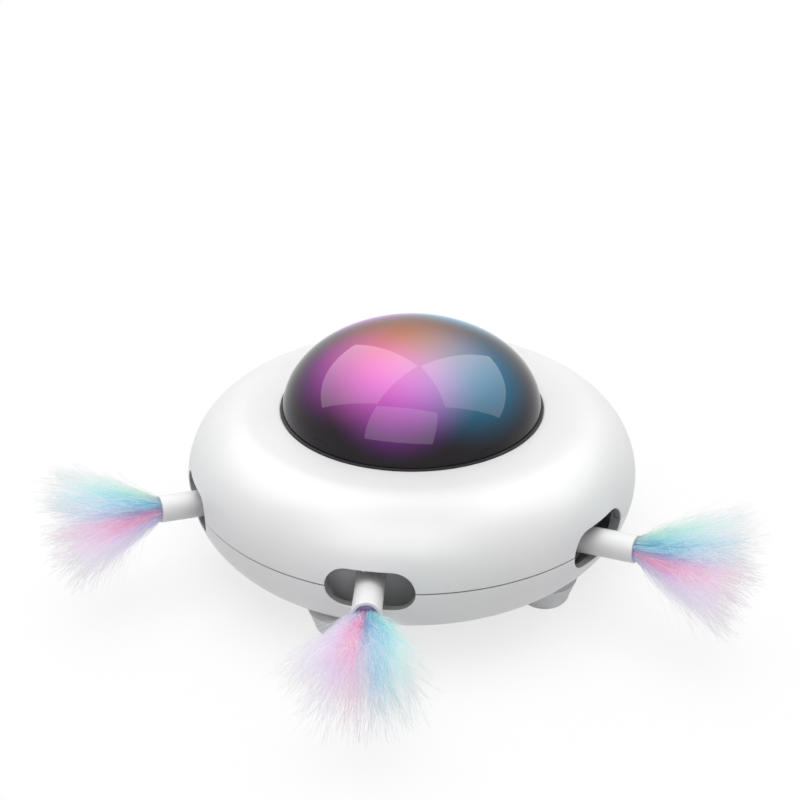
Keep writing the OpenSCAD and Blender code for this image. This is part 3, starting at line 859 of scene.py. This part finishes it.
class TOY_OT_wands(bpy.types.Operator):
    """Turn the three tubes and set the rack's teeth on them"""
    bl_idname = "toy.wands"
    bl_label = "Wands"

    PITCH = math.pi * 0.8 * MM
    RACK_LINE = WAND_RADIUS + 1.2 * MM
    RACK_WIDTH = 4 * MM
    RACK_SINK = 0.4 * MM
    RACK_PAST = 3 * MM
    TOOTH_FOOT = 1.0 * MM
    TOOTH_TIP = 0.8 * MM
    TOOTH_PLAY = 0.2 * MM
    TOOTH_SINK = 0.2 * MM
    PRESSURE_ANGLE = math.radians(20)
    # Where the pinion meets the rack, from the tail of the wand
    MESH_AT = 4.5 * MM
    TRAVEL = 22 * MM
    SOFT_EDGE = 0.28 * MM

    def execute(self, context):
        body = context.scene.toy_body
        white = moulded_plastic("wand_white", body.white, 0.42)
        mouth = wand_mouth()
        tail = mouth - WAND_LENGTH
        mesh_at = tail + self.MESH_AT
        tube = lathe(self.tube_profile(tail, mouth), 72, True, "tube")
        end = mesh_at + self.TRAVEL + self.RACK_PAST
        half = self.RACK_WIDTH / 2
        foot, root = WAND_BORE + self.RACK_SINK, self.RACK_LINE - self.TOOTH_FOOT
        bar = box_mesh((-half, foot, tail), (half, root, end), "rack")
        tree = self.rack_tree()
        tooth = new_piece("tooth", self.tooth_mesh())
        first = mesh_at - self.PITCH
        teeth = 1 + int((end - self.PITCH / 2 - first) / self.PITCH)
        for k, side in enumerate(SIDES):
            piece = new_piece("wand_tube_" + side, joined([tube, bar]), white)
            grow(piece, tree, 30, {
                "Tooth": tooth, "Teeth": teeth, "Pitch": self.PITCH, "First": first, "Finish": white})
            piece.data.transform(wand_frame(body, k))
            carry(piece, "wand_" + side, "white_plastic", "wand_" + side)
        bpy.data.objects.remove(tooth)
        return {"FINISHED"}

    def tube_profile(self, tail, mouth):
        soft = self.SOFT_EDGE
        out, bore = WAND_RADIUS, WAND_BORE
        profile = [(bore, tail + soft), (bore + soft, tail), (out - soft, tail), (out, tail + soft)]
        profile += [(out, tail + (mouth - tail) * i / 6) for i in range(1, 6)]
        profile += arc((out - soft, mouth - soft), soft, 0, 90, 4)
        profile += arc((bore + soft, mouth - soft), soft, 90, 180, 4)
        return profile

    def tooth_mesh(self):
        half = (self.PITCH / 2 - self.TOOTH_PLAY) / 2
        lean = math.tan(self.PRESSURE_ANGLE)
        foot, tip = self.TOOTH_FOOT, self.TOOTH_TIP
        wide = half + foot * lean
        outline = [(wide, -foot - self.TOOTH_SINK), (wide, -foot), (half - tip * lean, tip)]
        outline += [(-z, y) for z, y in outline[::-1]]
        w = self.RACK_WIDTH / 2
        rings = [[(x, self.RACK_LINE + y, z) for z, y in outline] for x in (-w, w)]
        return skin(rings, "tooth", caps=True)

    @staticmethod
    def rack_tree():
        inputs = {"Tooth": "Object", "Teeth": "Int", "Pitch": "Float", "First": "Float", "Finish": "Material"}
        tree, g, given = growing_tree("rack_teeth", inputs)
        line = g.node("GeometryNodeMeshLine", {
            "Count": given["Teeth"], "Start Location": g.xyz(0.0, 0.0, given["First"]),
            "Offset": g.xyz(0.0, 0.0, given["Pitch"])})
        tooth = g.node("GeometryNodeObjectInfo", {"Object": given["Tooth"]}).out("Geometry")
        teeth = g.node("GeometryNodeInstanceOnPoints", {"Points": line, "Instance": tooth})
        both = g.node("GeometryNodeJoinGeometry", {"Geometry": [given["Geometry"], teeth]})
        close_tree(g, both, given["Finish"])
        return tree


class TOY_OT_tufts(bpy.types.Operator):
    """Grow the strands of the three tufts from their plugs"""
    bl_idname = "toy.tufts"
    bl_label = "Tufts"

    PLUG_LENGTH = 8 * MM
    PLUG_SINK = 1.2 * MM
    PLUG_PLAY = 0.04 * MM
    ROOT_INSET = 0.15 * MM
    SQUASH_KEEP = 0.22
    # Direction in which the hues run, in a wand's frame
    HUES = {"left": (-0.45, 0.89), "front": (1.0, 0.0), "right": (0.45, 0.89)}
    # Share of the spread that strands above the wand's axis have
    LIFT = {"left": 1.0, "front": 0.45, "right": 1.0}

    def execute(self, context):
        body, tuft = context.scene.toy_body, context.scene.toy_tuft
        finish = dyed_strands(tuft)
        tree = self.strand_tree()
        mouth = wand_mouth()
        plug_r = WAND_BORE - self.PLUG_PLAY
        base, back = mouth - self.PLUG_SINK, mouth - self.PLUG_LENGTH
        plug = lathe([(0.0, back), (plug_r, back), (plug_r, base), (0.0, base)], 32, False, "plug")
        for k, side in enumerate(SIDES):
            piece = new_piece("tuft_strands_" + side, plug.copy(), finish)
            grow(piece, tree, 180, {
                "Strands": tuft.strands, "Length": tuft.length + self.PLUG_SINK, "Spread": tuft.spread,
                "Droop": tuft.droop, "Root": plug_r - self.ROOT_INSET, "Base": base,
                "Thickness": tuft.thickness, "Hue X": self.HUES[side][0], "Hue Y": self.HUES[side][1],
                "Lift": self.LIFT[side], "Seed": tuft.seed + k, "Finish": finish})
            place = wand_frame(body, k)
            piece.data.transform(place)
            carry(piece, "wand_" + side, "feather", "tuft_" + side)
            piece.visible_shadow = False
            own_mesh(piece)
        return {"FINISHED"}

    @staticmethod
    def strand_tree():
        inputs = {"Strands": "Int", "Length": "Float", "Spread": "Float", "Droop": "Float", "Root": "Float",
                  "Base": "Float", "Thickness": "Float", "Hue X": "Float", "Hue Y": "Float", "Lift": "Float",
                  "Seed": "Int", "Finish": "Material"}
        tree, g, given = growing_tree("tuft_strands", inputs)

        def chance(low, high, salt):
            sockets = {"Min": low, "Max": high, "Seed": given["Seed"] * 17.0 + float(salt)}
            return g.node("FunctionNodeRandomValue", sockets, 1, data_type="FLOAT")

        def keep(geometry, name, value):
            sockets = {"Geometry": geometry, "Name": name, "Value": value}
            return g.node("GeometryNodeStoreNamedAttribute", sockets, data_type="FLOAT", domain="POINT")

        def kept(name):
            return g.node("GeometryNodeInputNamedAttribute", {"Name": name}, data_type="FLOAT")

        # One straight strand on each point, and each point a place on a round disc
        points = g.node("GeometryNodePoints", {"Count": given["Strands"]})
        share = chance(0.0, 1.0, 1) ** 0.5
        turn = chance(0.0, math.tau, 2)
        for name, value in (
            ("disc_x", share * turn.maths("COSINE", turn)),
            ("disc_y", share * turn.maths("SINE", turn)),
            ("strand_cut", chance(0.0, 1.0, 3)),
            ("strand_spare", chance(0.0, 1.0, 4)),
        ):
            points = keep(points, name, value)
        line = g.node("GeometryNodeCurvePrimitiveLine", {"End": (0.0, 0.0, 1.0)})
        line = g.node("GeometryNodeResampleCurve", {"Curve": line, "Count": 8})
        strands = g.node("GeometryNodeInstanceOnPoints", {"Points": points, "Instance": line})
        strands = g.node("GeometryNodeRealizeInstances", {"Geometry": strands})
        strands = keep(strands, "strand_along", g.node("GeometryNodeSplineParameter"))

        # Strands sway in bundles, curl singly, reach less far at the rim or where they are cut, and fan out
        names = ("strand_along", "disc_x", "disc_y", "strand_cut", "strand_spare")
        t, x, y, cut, spare = (kept(name) for name in names)
        share2 = x * x + y * y
        bundle = g.xyz(x * 3.4 + given["Seed"] * 7.3, y * 3.4, t * 0.9)
        single = g.xyz(spare * 97.0, cut * 61.0, t * 1.6 + given["Seed"] * 1.0)
        wave = g.node("ShaderNodeTexNoise", {"Vector": bundle, "Scale": 1.0, "Detail": 2.0}, "Color")
        curl = g.node("ShaderNodeTexNoise", {"Vector": single, "Scale": 1.0}, "Color")
        sway = g.vector("SUBTRACT", g.scaled(wave, 0.9), (0.45, 0.45, 0.45))
        twist = g.vector("SUBTRACT", g.scaled(curl, 0.5), (0.25, 0.25, 0.25))
        stray = g.scaled(g.vector("ADD", sway, twist), t * given["Spread"])
        reach = given["Length"] * (1.0 - share2 * 0.16) * (1.0 - cut * cut * 0.3 - cut * 0.22)
        opening = (t * 0.5 + t * t * 0.5) * (given["Spread"] - given["Root"])
        fan = opening * (1.0 - cut * 0.35) * 0.92 + given["Root"]
        sag = t * t * given["Droop"] * (share2 * 0.5 + 0.3)
        height = y.maths("MAXIMUM", y, 0.0) * given["Lift"] + y.maths("MINIMUM", y, 0.0)
        place = g.vector("ADD", stray, g.xyz(x * fan, height * fan - sag, t * reach + given["Base"]))
        strands = g.node("GeometryNodeSetPosition", {"Geometry": strands, "Position": place})
        strands = keep(strands, "strand_across", x * given["Hue X"] + y * given["Hue Y"])
        width = given["Thickness"] * 0.5 * (1.0 - t * 0.62)
        ring = g.node("GeometryNodeCurvePrimitiveCircle", {"Resolution": 3, "Radius": 1.0})
        solid = g.node("GeometryNodeCurveToMesh", {
            "Curve": strands, "Profile Curve": ring, "Scale": width, "Fill Caps": True})
        both = g.node("GeometryNodeJoinGeometry", {"Geometry": [given["Geometry"], solid]})
        close_tree(g, both, given["Finish"])
        return tree


class TOY_OT_feet(bpy.types.Operator):
    """Turn the five feet and fit their tops to the underside"""
    bl_idname = "toy.feet"
    bl_label = "Feet"

    COUNT = 5
    TURN = math.radians(-21.5)
    PLACE = 49 * MM
    RADIUS = 7.3 * MM
    TOP_RADIUS = 9 * MM
    ROUND = 2.8 * MM
    SEGMENTS = 72
    STEPS = 8
    SINK = 0.2 * MM

    def execute(self, context):
        body = context.scene.toy_body
        finish = soft_rubber("foot_rubber", body.foot_grey)
        for k in range(self.COUNT):
            mesh = self.foot_mesh(body)
            mesh.transform(Matrix.Rotation(self.TURN + k * math.tau / self.COUNT, 4, "Z"))
            piece = new_piece("foot_pad_%d" % (k + 1), mesh, finish)
            carry(piece, "housing", "foot_rubber", "foot_%d" % (k + 1))
        return {"FINISHED"}

    def foot_mesh(self, body):
        high = body.bottom + body.wall
        rise = high - self.ROUND
        base = [(self.RADIUS - self.ROUND) * s for s in (0.5, 1.0)]
        curve = arc((self.RADIUS - self.ROUND, self.ROUND), self.ROUND, -75, -15, 4)
        columns = []
        for k in range(self.SEGMENTS):
            turn = math.tau * k / self.SEGMENTS
            cos, sin = math.cos(turn), math.sin(turn)

            def at(r, z):
                return Vector((r * cos, r * sin - self.PLACE, z))

            def side(s):
                return at(self.RADIUS + (self.TOP_RADIUS - self.RADIUS) * s, self.ROUND + rise * s)

            def in_shell(s):
                p = side(s)
                return p.z - under_height(body, math.hypot(p.x, p.y)) - self.SINK > 0

            top = crossing(in_shell, 0.0, 1.0) if in_shell(1.0) else 1.0
            column = [at(r, 0.0) for r in base] + [at(r, z) for r, z in curve]
            columns.append(column + [side(top * i / self.STEPS) for i in range(self.STEPS + 1)])
        poles = [[(0.0, -self.PLACE, z)] for z in (0.0, under_height(body, self.PLACE) + self.SINK)]
        return skin([poles[0], *zip(*columns), poles[1]], "foot")


class TOY_OT_fittings(bpy.types.Operator):
    """Make the power button, the inlet's tongue and the screws"""
    bl_idname = "toy.fittings"
    bl_label = "Button, inlet and screws"

    BUTTON_RADIUS = 3.5 * MM
    BUTTON_INSET = 0.3 * MM
    # The button's dished face, as radius and depth in millimetres
    DISH = ((2.4, 0.0), (2.1, 0.12), (1.0, 0.24), (0.0, 0.28))
    FLANGE_RADIUS = 4.5 * MM
    FLANGE_THICK = 1.2 * MM
    FLANGE_INSET = 8.9 * MM
    STEM_RADIUS = 1.3 * MM
    STEM_INSET = 11.5 * MM
    # Half of the tongue's width and thickness, its length, and how deep it lies
    TONGUE = (3.0 * MM, 0.35 * MM, 4.6 * MM)
    TONGUE_INSET = 3.4 * MM
    SCREW_TURN = 0.6

    def execute(self, context):
        body = context.scene.toy_body
        self.button(body)
        self.tongue(body)
        self.screws(body)
        return {"FINISHED"}

    @staticmethod
    def service_frame(body, x):
        """z points outwards through the side between two back slots."""
        turn = Matrix.Rotation(slot_turn(body, SERVICE_STEP), 4, "Z")
        return turn @ Matrix.Translation((x, 0.0, SERVICE_Z)) @ Matrix.Rotation(math.pi / 2, 4, "X")

    def button(self, body):
        face = body.radius - self.BUTTON_INSET
        back = body.radius - self.FLANGE_INSET
        front = back + self.FLANGE_THICK
        stem = body.radius - self.STEM_INSET
        r, soft, thin, wide = self.BUTTON_RADIUS, 0.4 * MM, self.STEM_RADIUS, self.FLANGE_RADIUS
        profile = [(0.0, stem), (thin, stem), (thin, back), (wide, back), (wide, front), (r, front)]
        profile += arc((r - soft, face - soft), soft, 0, 90, 5)
        profile += [(out * MM, face - deep * MM) for out, deep in self.DISH]
        mesh = lathe(profile, 64, False, "button")
        mesh.transform(self.service_frame(body, SERVICE_X))
        piece = new_piece("button_cap", mesh, moulded_plastic("button_grey", (0.55, 0.56, 0.57), 0.34))
        carry(piece, "power_button", "white_plastic", "power_button")

    def tongue(self, body):
        out = body.radius - self.TONGUE_INSET
        wide, thin, long = self.TONGUE
        mesh = box_mesh((-wide, -thin, out - long), (wide, thin, out), "tongue")
        mesh.transform(self.service_frame(body, -SERVICE_X))
        piece = new_piece("inlet_tongue", mesh, moulded_plastic("inlet_black", (0.02, 0.02, 0.022), 0.45))
        soft = piece.modifiers.new("soft_edge", "BEVEL")
        soft.width = 0.15 * MM
        soft.segments = 2
        carry(piece, "housing", "inner_plastic")

    def screws(self, body):
        steel = drawn_metal("screw_steel", (0.58, 0.58, 0.60), 0.32)
        screw = new_piece("screw", self.screw_mesh())
        feet = mesh_of([place.translation for place in screw_places(body)], [])
        spots = new_piece("shell_screw_heads", feet, steel)
        grow(spots, self.screw_tree(), 30, {
            "Screw": screw, "Height": body.bottom + SCREW_DEPTH, "Turn": self.SCREW_TURN, "Finish": steel})
        bpy.data.objects.remove(screw)
        carry(spots, "housing", "steel", "shell_screws")

    @staticmethod
    def screw_mesh():
        head, tall, shank, long = 2.65 * MM, 1.6 * MM, 1.25 * MM, 17 * MM
        flat, soft, tip = 1.6 * MM, 0.5 * MM, 0.8 * MM
        profile = [(0.0, -tall), (flat, -tall)]
        profile += arc((head - soft, -tall + soft), soft, -80, 0, 5)
        profile += [(head, 0.0), (shank, 0.0), (shank, long - tip), (shank * 0.55, long), (0.0, long)]
        arm, half, deep = 1.45 * MM, 0.28 * MM, -tall + 0.75 * MM
        cross = [
            ("DIFFERENCE", box_mesh((-x, -y, -tall - MM), (x, y, deep)))
            for x, y in ((arm, half), (half, arm))
        ]
        return carve(lathe(profile, 40, False), *cross)

    @staticmethod
    def screw_tree():
        inputs = {"Screw": "Object", "Height": "Float", "Turn": "Float", "Finish": "Material"}
        tree, g, given = growing_tree("screw_set", inputs)
        points = g.node("GeometryNodeMeshToPoints", {"Mesh": given["Geometry"]})
        points = g.node("GeometryNodeSetPosition", {
            "Geometry": points, "Offset": g.xyz(0.0, 0.0, given["Height"])})
        screw = g.node("GeometryNodeObjectInfo", {"Object": given["Screw"]}).out("Geometry")
        turn = g.xyz(0.0, 0.0, g.node("GeometryNodeInputIndex") * given["Turn"])
        placed = g.node("GeometryNodeInstanceOnPoints", {
            "Points": points, "Instance": screw, "Rotation": turn})
        close_tree(g, placed, given["Finish"])
        return tree


class TOY_OT_inside(bpy.types.Operator):
    """Give the drive, the light and the electric parts their finishes, and close the view under the guides"""
    bl_idname = "toy.inside"
    bl_label = "Inside"

    # The face of a wand's guide, which is seen through its slot
    FACE_INSET = 10.8 * MM
    FACE_HALF = 14 * MM
    FACE_LOW = WAND_RADIUS + 3.2 * MM
    # The skirt under it: how far it sets back from the face, its thickness and the room round it
    SKIRT_BACK = 0.25 * MM
    SKIRT_THICK = 1.0 * MM
    SKIRT_LAP = 0.3 * MM
    SKIRT_PLAY = 0.2 * MM
    SKIRT_REACH = 10 * MM
    DECK = 6 * MM
    COLUMNS = 28

    def execute(self, context):
        body = context.scene.toy_body
        grey = moulded_plastic("inner_grey", body.inner_grey, 0.5)
        dress(grey, "slot_screens", "chassis", "light_tray", "battery_holder",
              *sided("wand_guide", "motor_cradle"))
        steel = drawn_metal("drawn_steel", (0.56, 0.56, 0.58), 0.34)
        dress(steel, "usb_inlet", "chassis_screws", "tray_screws", "guide_screws",
              *sided("motor", "pinion_shaft", "motor_strap"))
        dress(drawn_metal("gear_brass", (0.72, 0.5, 0.2), 0.3, (0.04, 1.0, 1.0)), *sided("pinion"))
        dress(circuit_board("board_green"), "light_board", "control_board")
        dress(moulded_plastic("led_cap", (0.85, 0.80, 0.6), 0.2), "leds")
        dress(moulded_plastic("diffuser_milk", (0.82, 0.68, 0.72), 0.55), "light_diffuser")
        dress(moulded_plastic("cell_wrap", (0.05, 0.14, 0.45), 0.25, 0.000004), "battery_cell")
        dress(moulded_plastic("switch_black", (0.02, 0.02, 0.022), 0.4), "power_switch")
        dress(moulded_plastic("plunger_white", (0.7, 0.7, 0.68), 0.4), "switch_plunger")
        self.skirts(body, grey)
        return {"FINISHED"}

    def skirts(self, body, finish):
        """Plates that close the view under the guides' faces, down to the deck and the shell."""
        skirt = self.skirt_mesh(body)
        for k, side in enumerate(SIDES):
            piece = new_piece("guide_skirt_" + side, moved(skirt, wand_frame(body, k)), finish)
            carry(piece, "housing", "inner_plastic")

    def skirt_mesh(self, body):
        place = wand_frame(body, 1)
        front = body.radius - self.FACE_INSET - self.SKIRT_BACK
        back = front - self.SKIRT_THICK
        top = -self.FACE_LOW + self.SKIRT_LAP
        inner = body.seam - body.bottom - body.wall
        middle = body.radius - inner - body.wall

        def has_room(x, y):
            p = place @ Vector((x, y, front))
            out = min(inner, max(0.0, math.hypot(p.x, p.y) - middle))
            shell = body.seam - math.sqrt(inner ** 2 - out ** 2)
            return p.z - max(shell, body.bottom + self.DECK) - self.SKIRT_PLAY > 0

        lowest, highest = -self.FACE_LOW - self.SKIRT_REACH, -self.FACE_LOW + self.SKIRT_PLAY
        rings = []
        for i in range(self.COLUMNS + 1):
            x = self.FACE_HALF * (2 * i / self.COLUMNS - 1)
            low = crossing(lambda y: has_room(x, y), lowest, highest)
            rings.append([(x, low, back), (x, low, front), (x, top, front), (x, top, back)])
        return skin(rings, "skirt", caps=True)


def direction(turn, rise):
    """The way to a turn from the front and a height angle."""
    return Vector((math.sin(turn) * math.cos(rise), -math.cos(turn) * math.cos(rise), math.sin(rise)))


def aimed(name, data, place, way):
    """A lamp or a camera at a place that looks along a way."""
    made = new_piece(name, data)
    made.location = place
    made.rotation_euler = way.to_track_quat("-Z", "Y").to_euler()
    return made


class TOY_OT_stage(bpy.types.Operator):
    """Lay the floor, set the light and place the camera"""
    bl_idname = "toy.stage"
    bl_label = "Stage"

    # Corners of the panels round the dome: turn from the front and height angle, in degrees
    SOFTBOXES = {
        "softbox_left": ((-94, 26), (-156, 29), (175, 65), (-62, 65)),
        "softbox_right": ((87, 21), (148, 27), (172, 65), (57, 63)),
        "softbox_front": ((-58, 63), (40, 61), (19, 21), (-40, 22)),
    }
    SOFTBOX_AWAY = 0.9
    SOFTBOX_LIFT = 10 * MM
    KEY_PLACE = (-0.06, 0.0, 1.05)
    KEY_WIDTH = 1.1
    FLOOR_HALF = 3.0
    # What the floor gives back as light, and how it brightens away from the toy
    BOUNCE = (0.62, 0.62, 0.62, 1.0)
    SHADE = (0.07, 0.24, 0.72, 1.0)
    SENSOR = 36.0
    SHIFT = (-0.0149, 0.071)
    CLIP = (0.01, 20.0)

    def execute(self, context):
        scene, stage = context.scene, context.scene.toy_stage
        scene.view_settings.view_transform = "Standard"
        self.world(scene, stage)
        self.floor(stage)
        target = Vector((0.0, 0.0, stage.aim))
        self.key_light(stage, target)
        self.softboxes(stage)
        self.camera(scene, stage, target)
        return {"FINISHED"}

    @staticmethod
    def seen(g):
        """1 for rays that look at the background itself or through its reflection."""
        path = g.node("ShaderNodeLightPath")
        seen = path.out("Is Camera Ray") + path.out("Is Glossy Ray") + path.out("Is Transmission Ray")
        return seen.maths("MINIMUM", seen, 1.0)

    def world(self, scene, stage):
        world = bpy.data.worlds.new("studio")
        g = Graph(emptied(world))
        colour = (*stage.floor, 1.0)
        light = g.node("ShaderNodeBackground", {"Color": colour, "Strength": stage.fill})
        white = g.node("ShaderNodeBackground", {"Color": colour, "Strength": 1.0})
        both = g.node("ShaderNodeMixShader", {0: self.seen(g), 1: light, 2: white})
        g.node("ShaderNodeOutputWorld", {"Surface": both})
        scene.world = world

    def floor(self, stage):
        material = bpy.data.materials.new("floor_white")
        g = Graph(emptied(material))
        colour = (*stage.floor, 1.0)
        bounce = g.node("ShaderNodeBsdfDiffuse", {"Color": self.BOUNCE})
        paint = g.node("ShaderNodeBsdfDiffuse", {"Color": colour})
        white = g.node("ShaderNodeEmission", {"Color": colour, "Strength": 1.0})
        place = g.node("ShaderNodeTexCoord").out("Object")
        away = g.vector("LENGTH", place, (0.0, 0.0, 0.0), "Value").ramp(*self.SHADE)
        shown = g.node("ShaderNodeMixShader", {0: away, 1: paint, 2: white})
        both = g.node("ShaderNodeMixShader", {0: self.seen(g), 1: bounce, 2: shown})
        g.node("ShaderNodeOutputMaterial", {"Surface": both})
        far = self.FLOOR_HALF
        corners = [(x, y, 0.0) for x, y in ((-far, -far), (far, -far), (far, far), (-far, far))]
        new_piece("floor", mesh_of(corners, [(0, 1, 2, 3)]), material)

    def softboxes(self, stage):
        """Three flat panels round the dome, which only glossy surfaces show."""
        glow = bpy.data.materials.new("softbox_glow")
        g = Graph(emptied(glow))
        light = g.node("ShaderNodeEmission", {"Strength": stage.softbox})
        g.node("ShaderNodeOutputMaterial", {"Surface": light})
        middle = Vector((0.0, 0.0, DOME_FOOT.z + self.SOFTBOX_LIFT))
        for name, corners in self.SOFTBOXES.items():
            ways = [direction(math.radians(turn), math.radians(rise)) for turn, rise in corners]
            points = [middle + way * self.SOFTBOX_AWAY for way in ways]
            panel = new_piece(name, mesh_of(points, [range(len(points))], name), glow)
            panel.visible_camera = panel.visible_diffuse = False
            panel.visible_shadow = panel.visible_transmission = False

    def key_light(self, stage, target):
        light = bpy.data.lights.new("key_light", "AREA")
        light.shape = "DISK"
        light.size = self.KEY_WIDTH
        light.energy = stage.key_power
        place = Vector(self.KEY_PLACE)
        aimed("key_light", light, place, target - place).visible_glossy = False

    def camera(self, scene, stage, target):
        lens = bpy.data.cameras.new("camera")
        lens.sensor_width = self.SENSOR
        lens.lens = stage.lens
        lens.shift_x, lens.shift_y = self.SHIFT
        lens.clip_start, lens.clip_end = self.CLIP
        away = direction(stage.azimuth, stage.elevation)
        scene.camera = aimed("camera", lens, target + away * stage.distance, -away)


OPERATORS = (
    TOY_OT_stage, TOY_OT_shells, TOY_OT_dome, TOY_OT_wands,
    TOY_OT_tufts, TOY_OT_feet, TOY_OT_fittings, TOY_OT_inside,
)
SETTINGS = {"toy_body": ToyBody, "toy_dome": ToyDome, "toy_tuft": ToyTuft, "toy_stage": ToyStage}


class TOY_PT_panel(bpy.types.Panel):
    """Lists the steps that dress the toy"""
    bl_idname = "TOY_PT_panel"
    bl_label = "Feather Toy"
    bl_space_type = "VIEW_3D"
    bl_region_type = "UI"
    bl_category = "Feather Toy"

    def draw(self, context):
        for operator in OPERATORS:
            self.layout.operator(operator.bl_idname)


def register():
    for cls in (*SETTINGS.values(), *OPERATORS, TOY_PT_panel):
        bpy.utils.register_class(cls)
    for name, cls in SETTINGS.items():
        setattr(bpy.types.Scene, name, PointerProperty(type=cls))


def unregister():
    for name in SETTINGS:
        delattr(bpy.types.Scene, name)
    for cls in (TOY_PT_panel, *OPERATORS, *SETTINGS.values()):
        bpy.utils.unregister_class(cls)


def main():
    register()
    bpy.ops.toy.stage()
    bpy.ops.toy.shells()
    bpy.ops.toy.dome()
    bpy.ops.toy.wands()
    bpy.ops.toy.tufts()
    bpy.ops.toy.feet()
    bpy.ops.toy.fittings()
    bpy.ops.toy.inside()


if __name__ == "__main__":
    main()
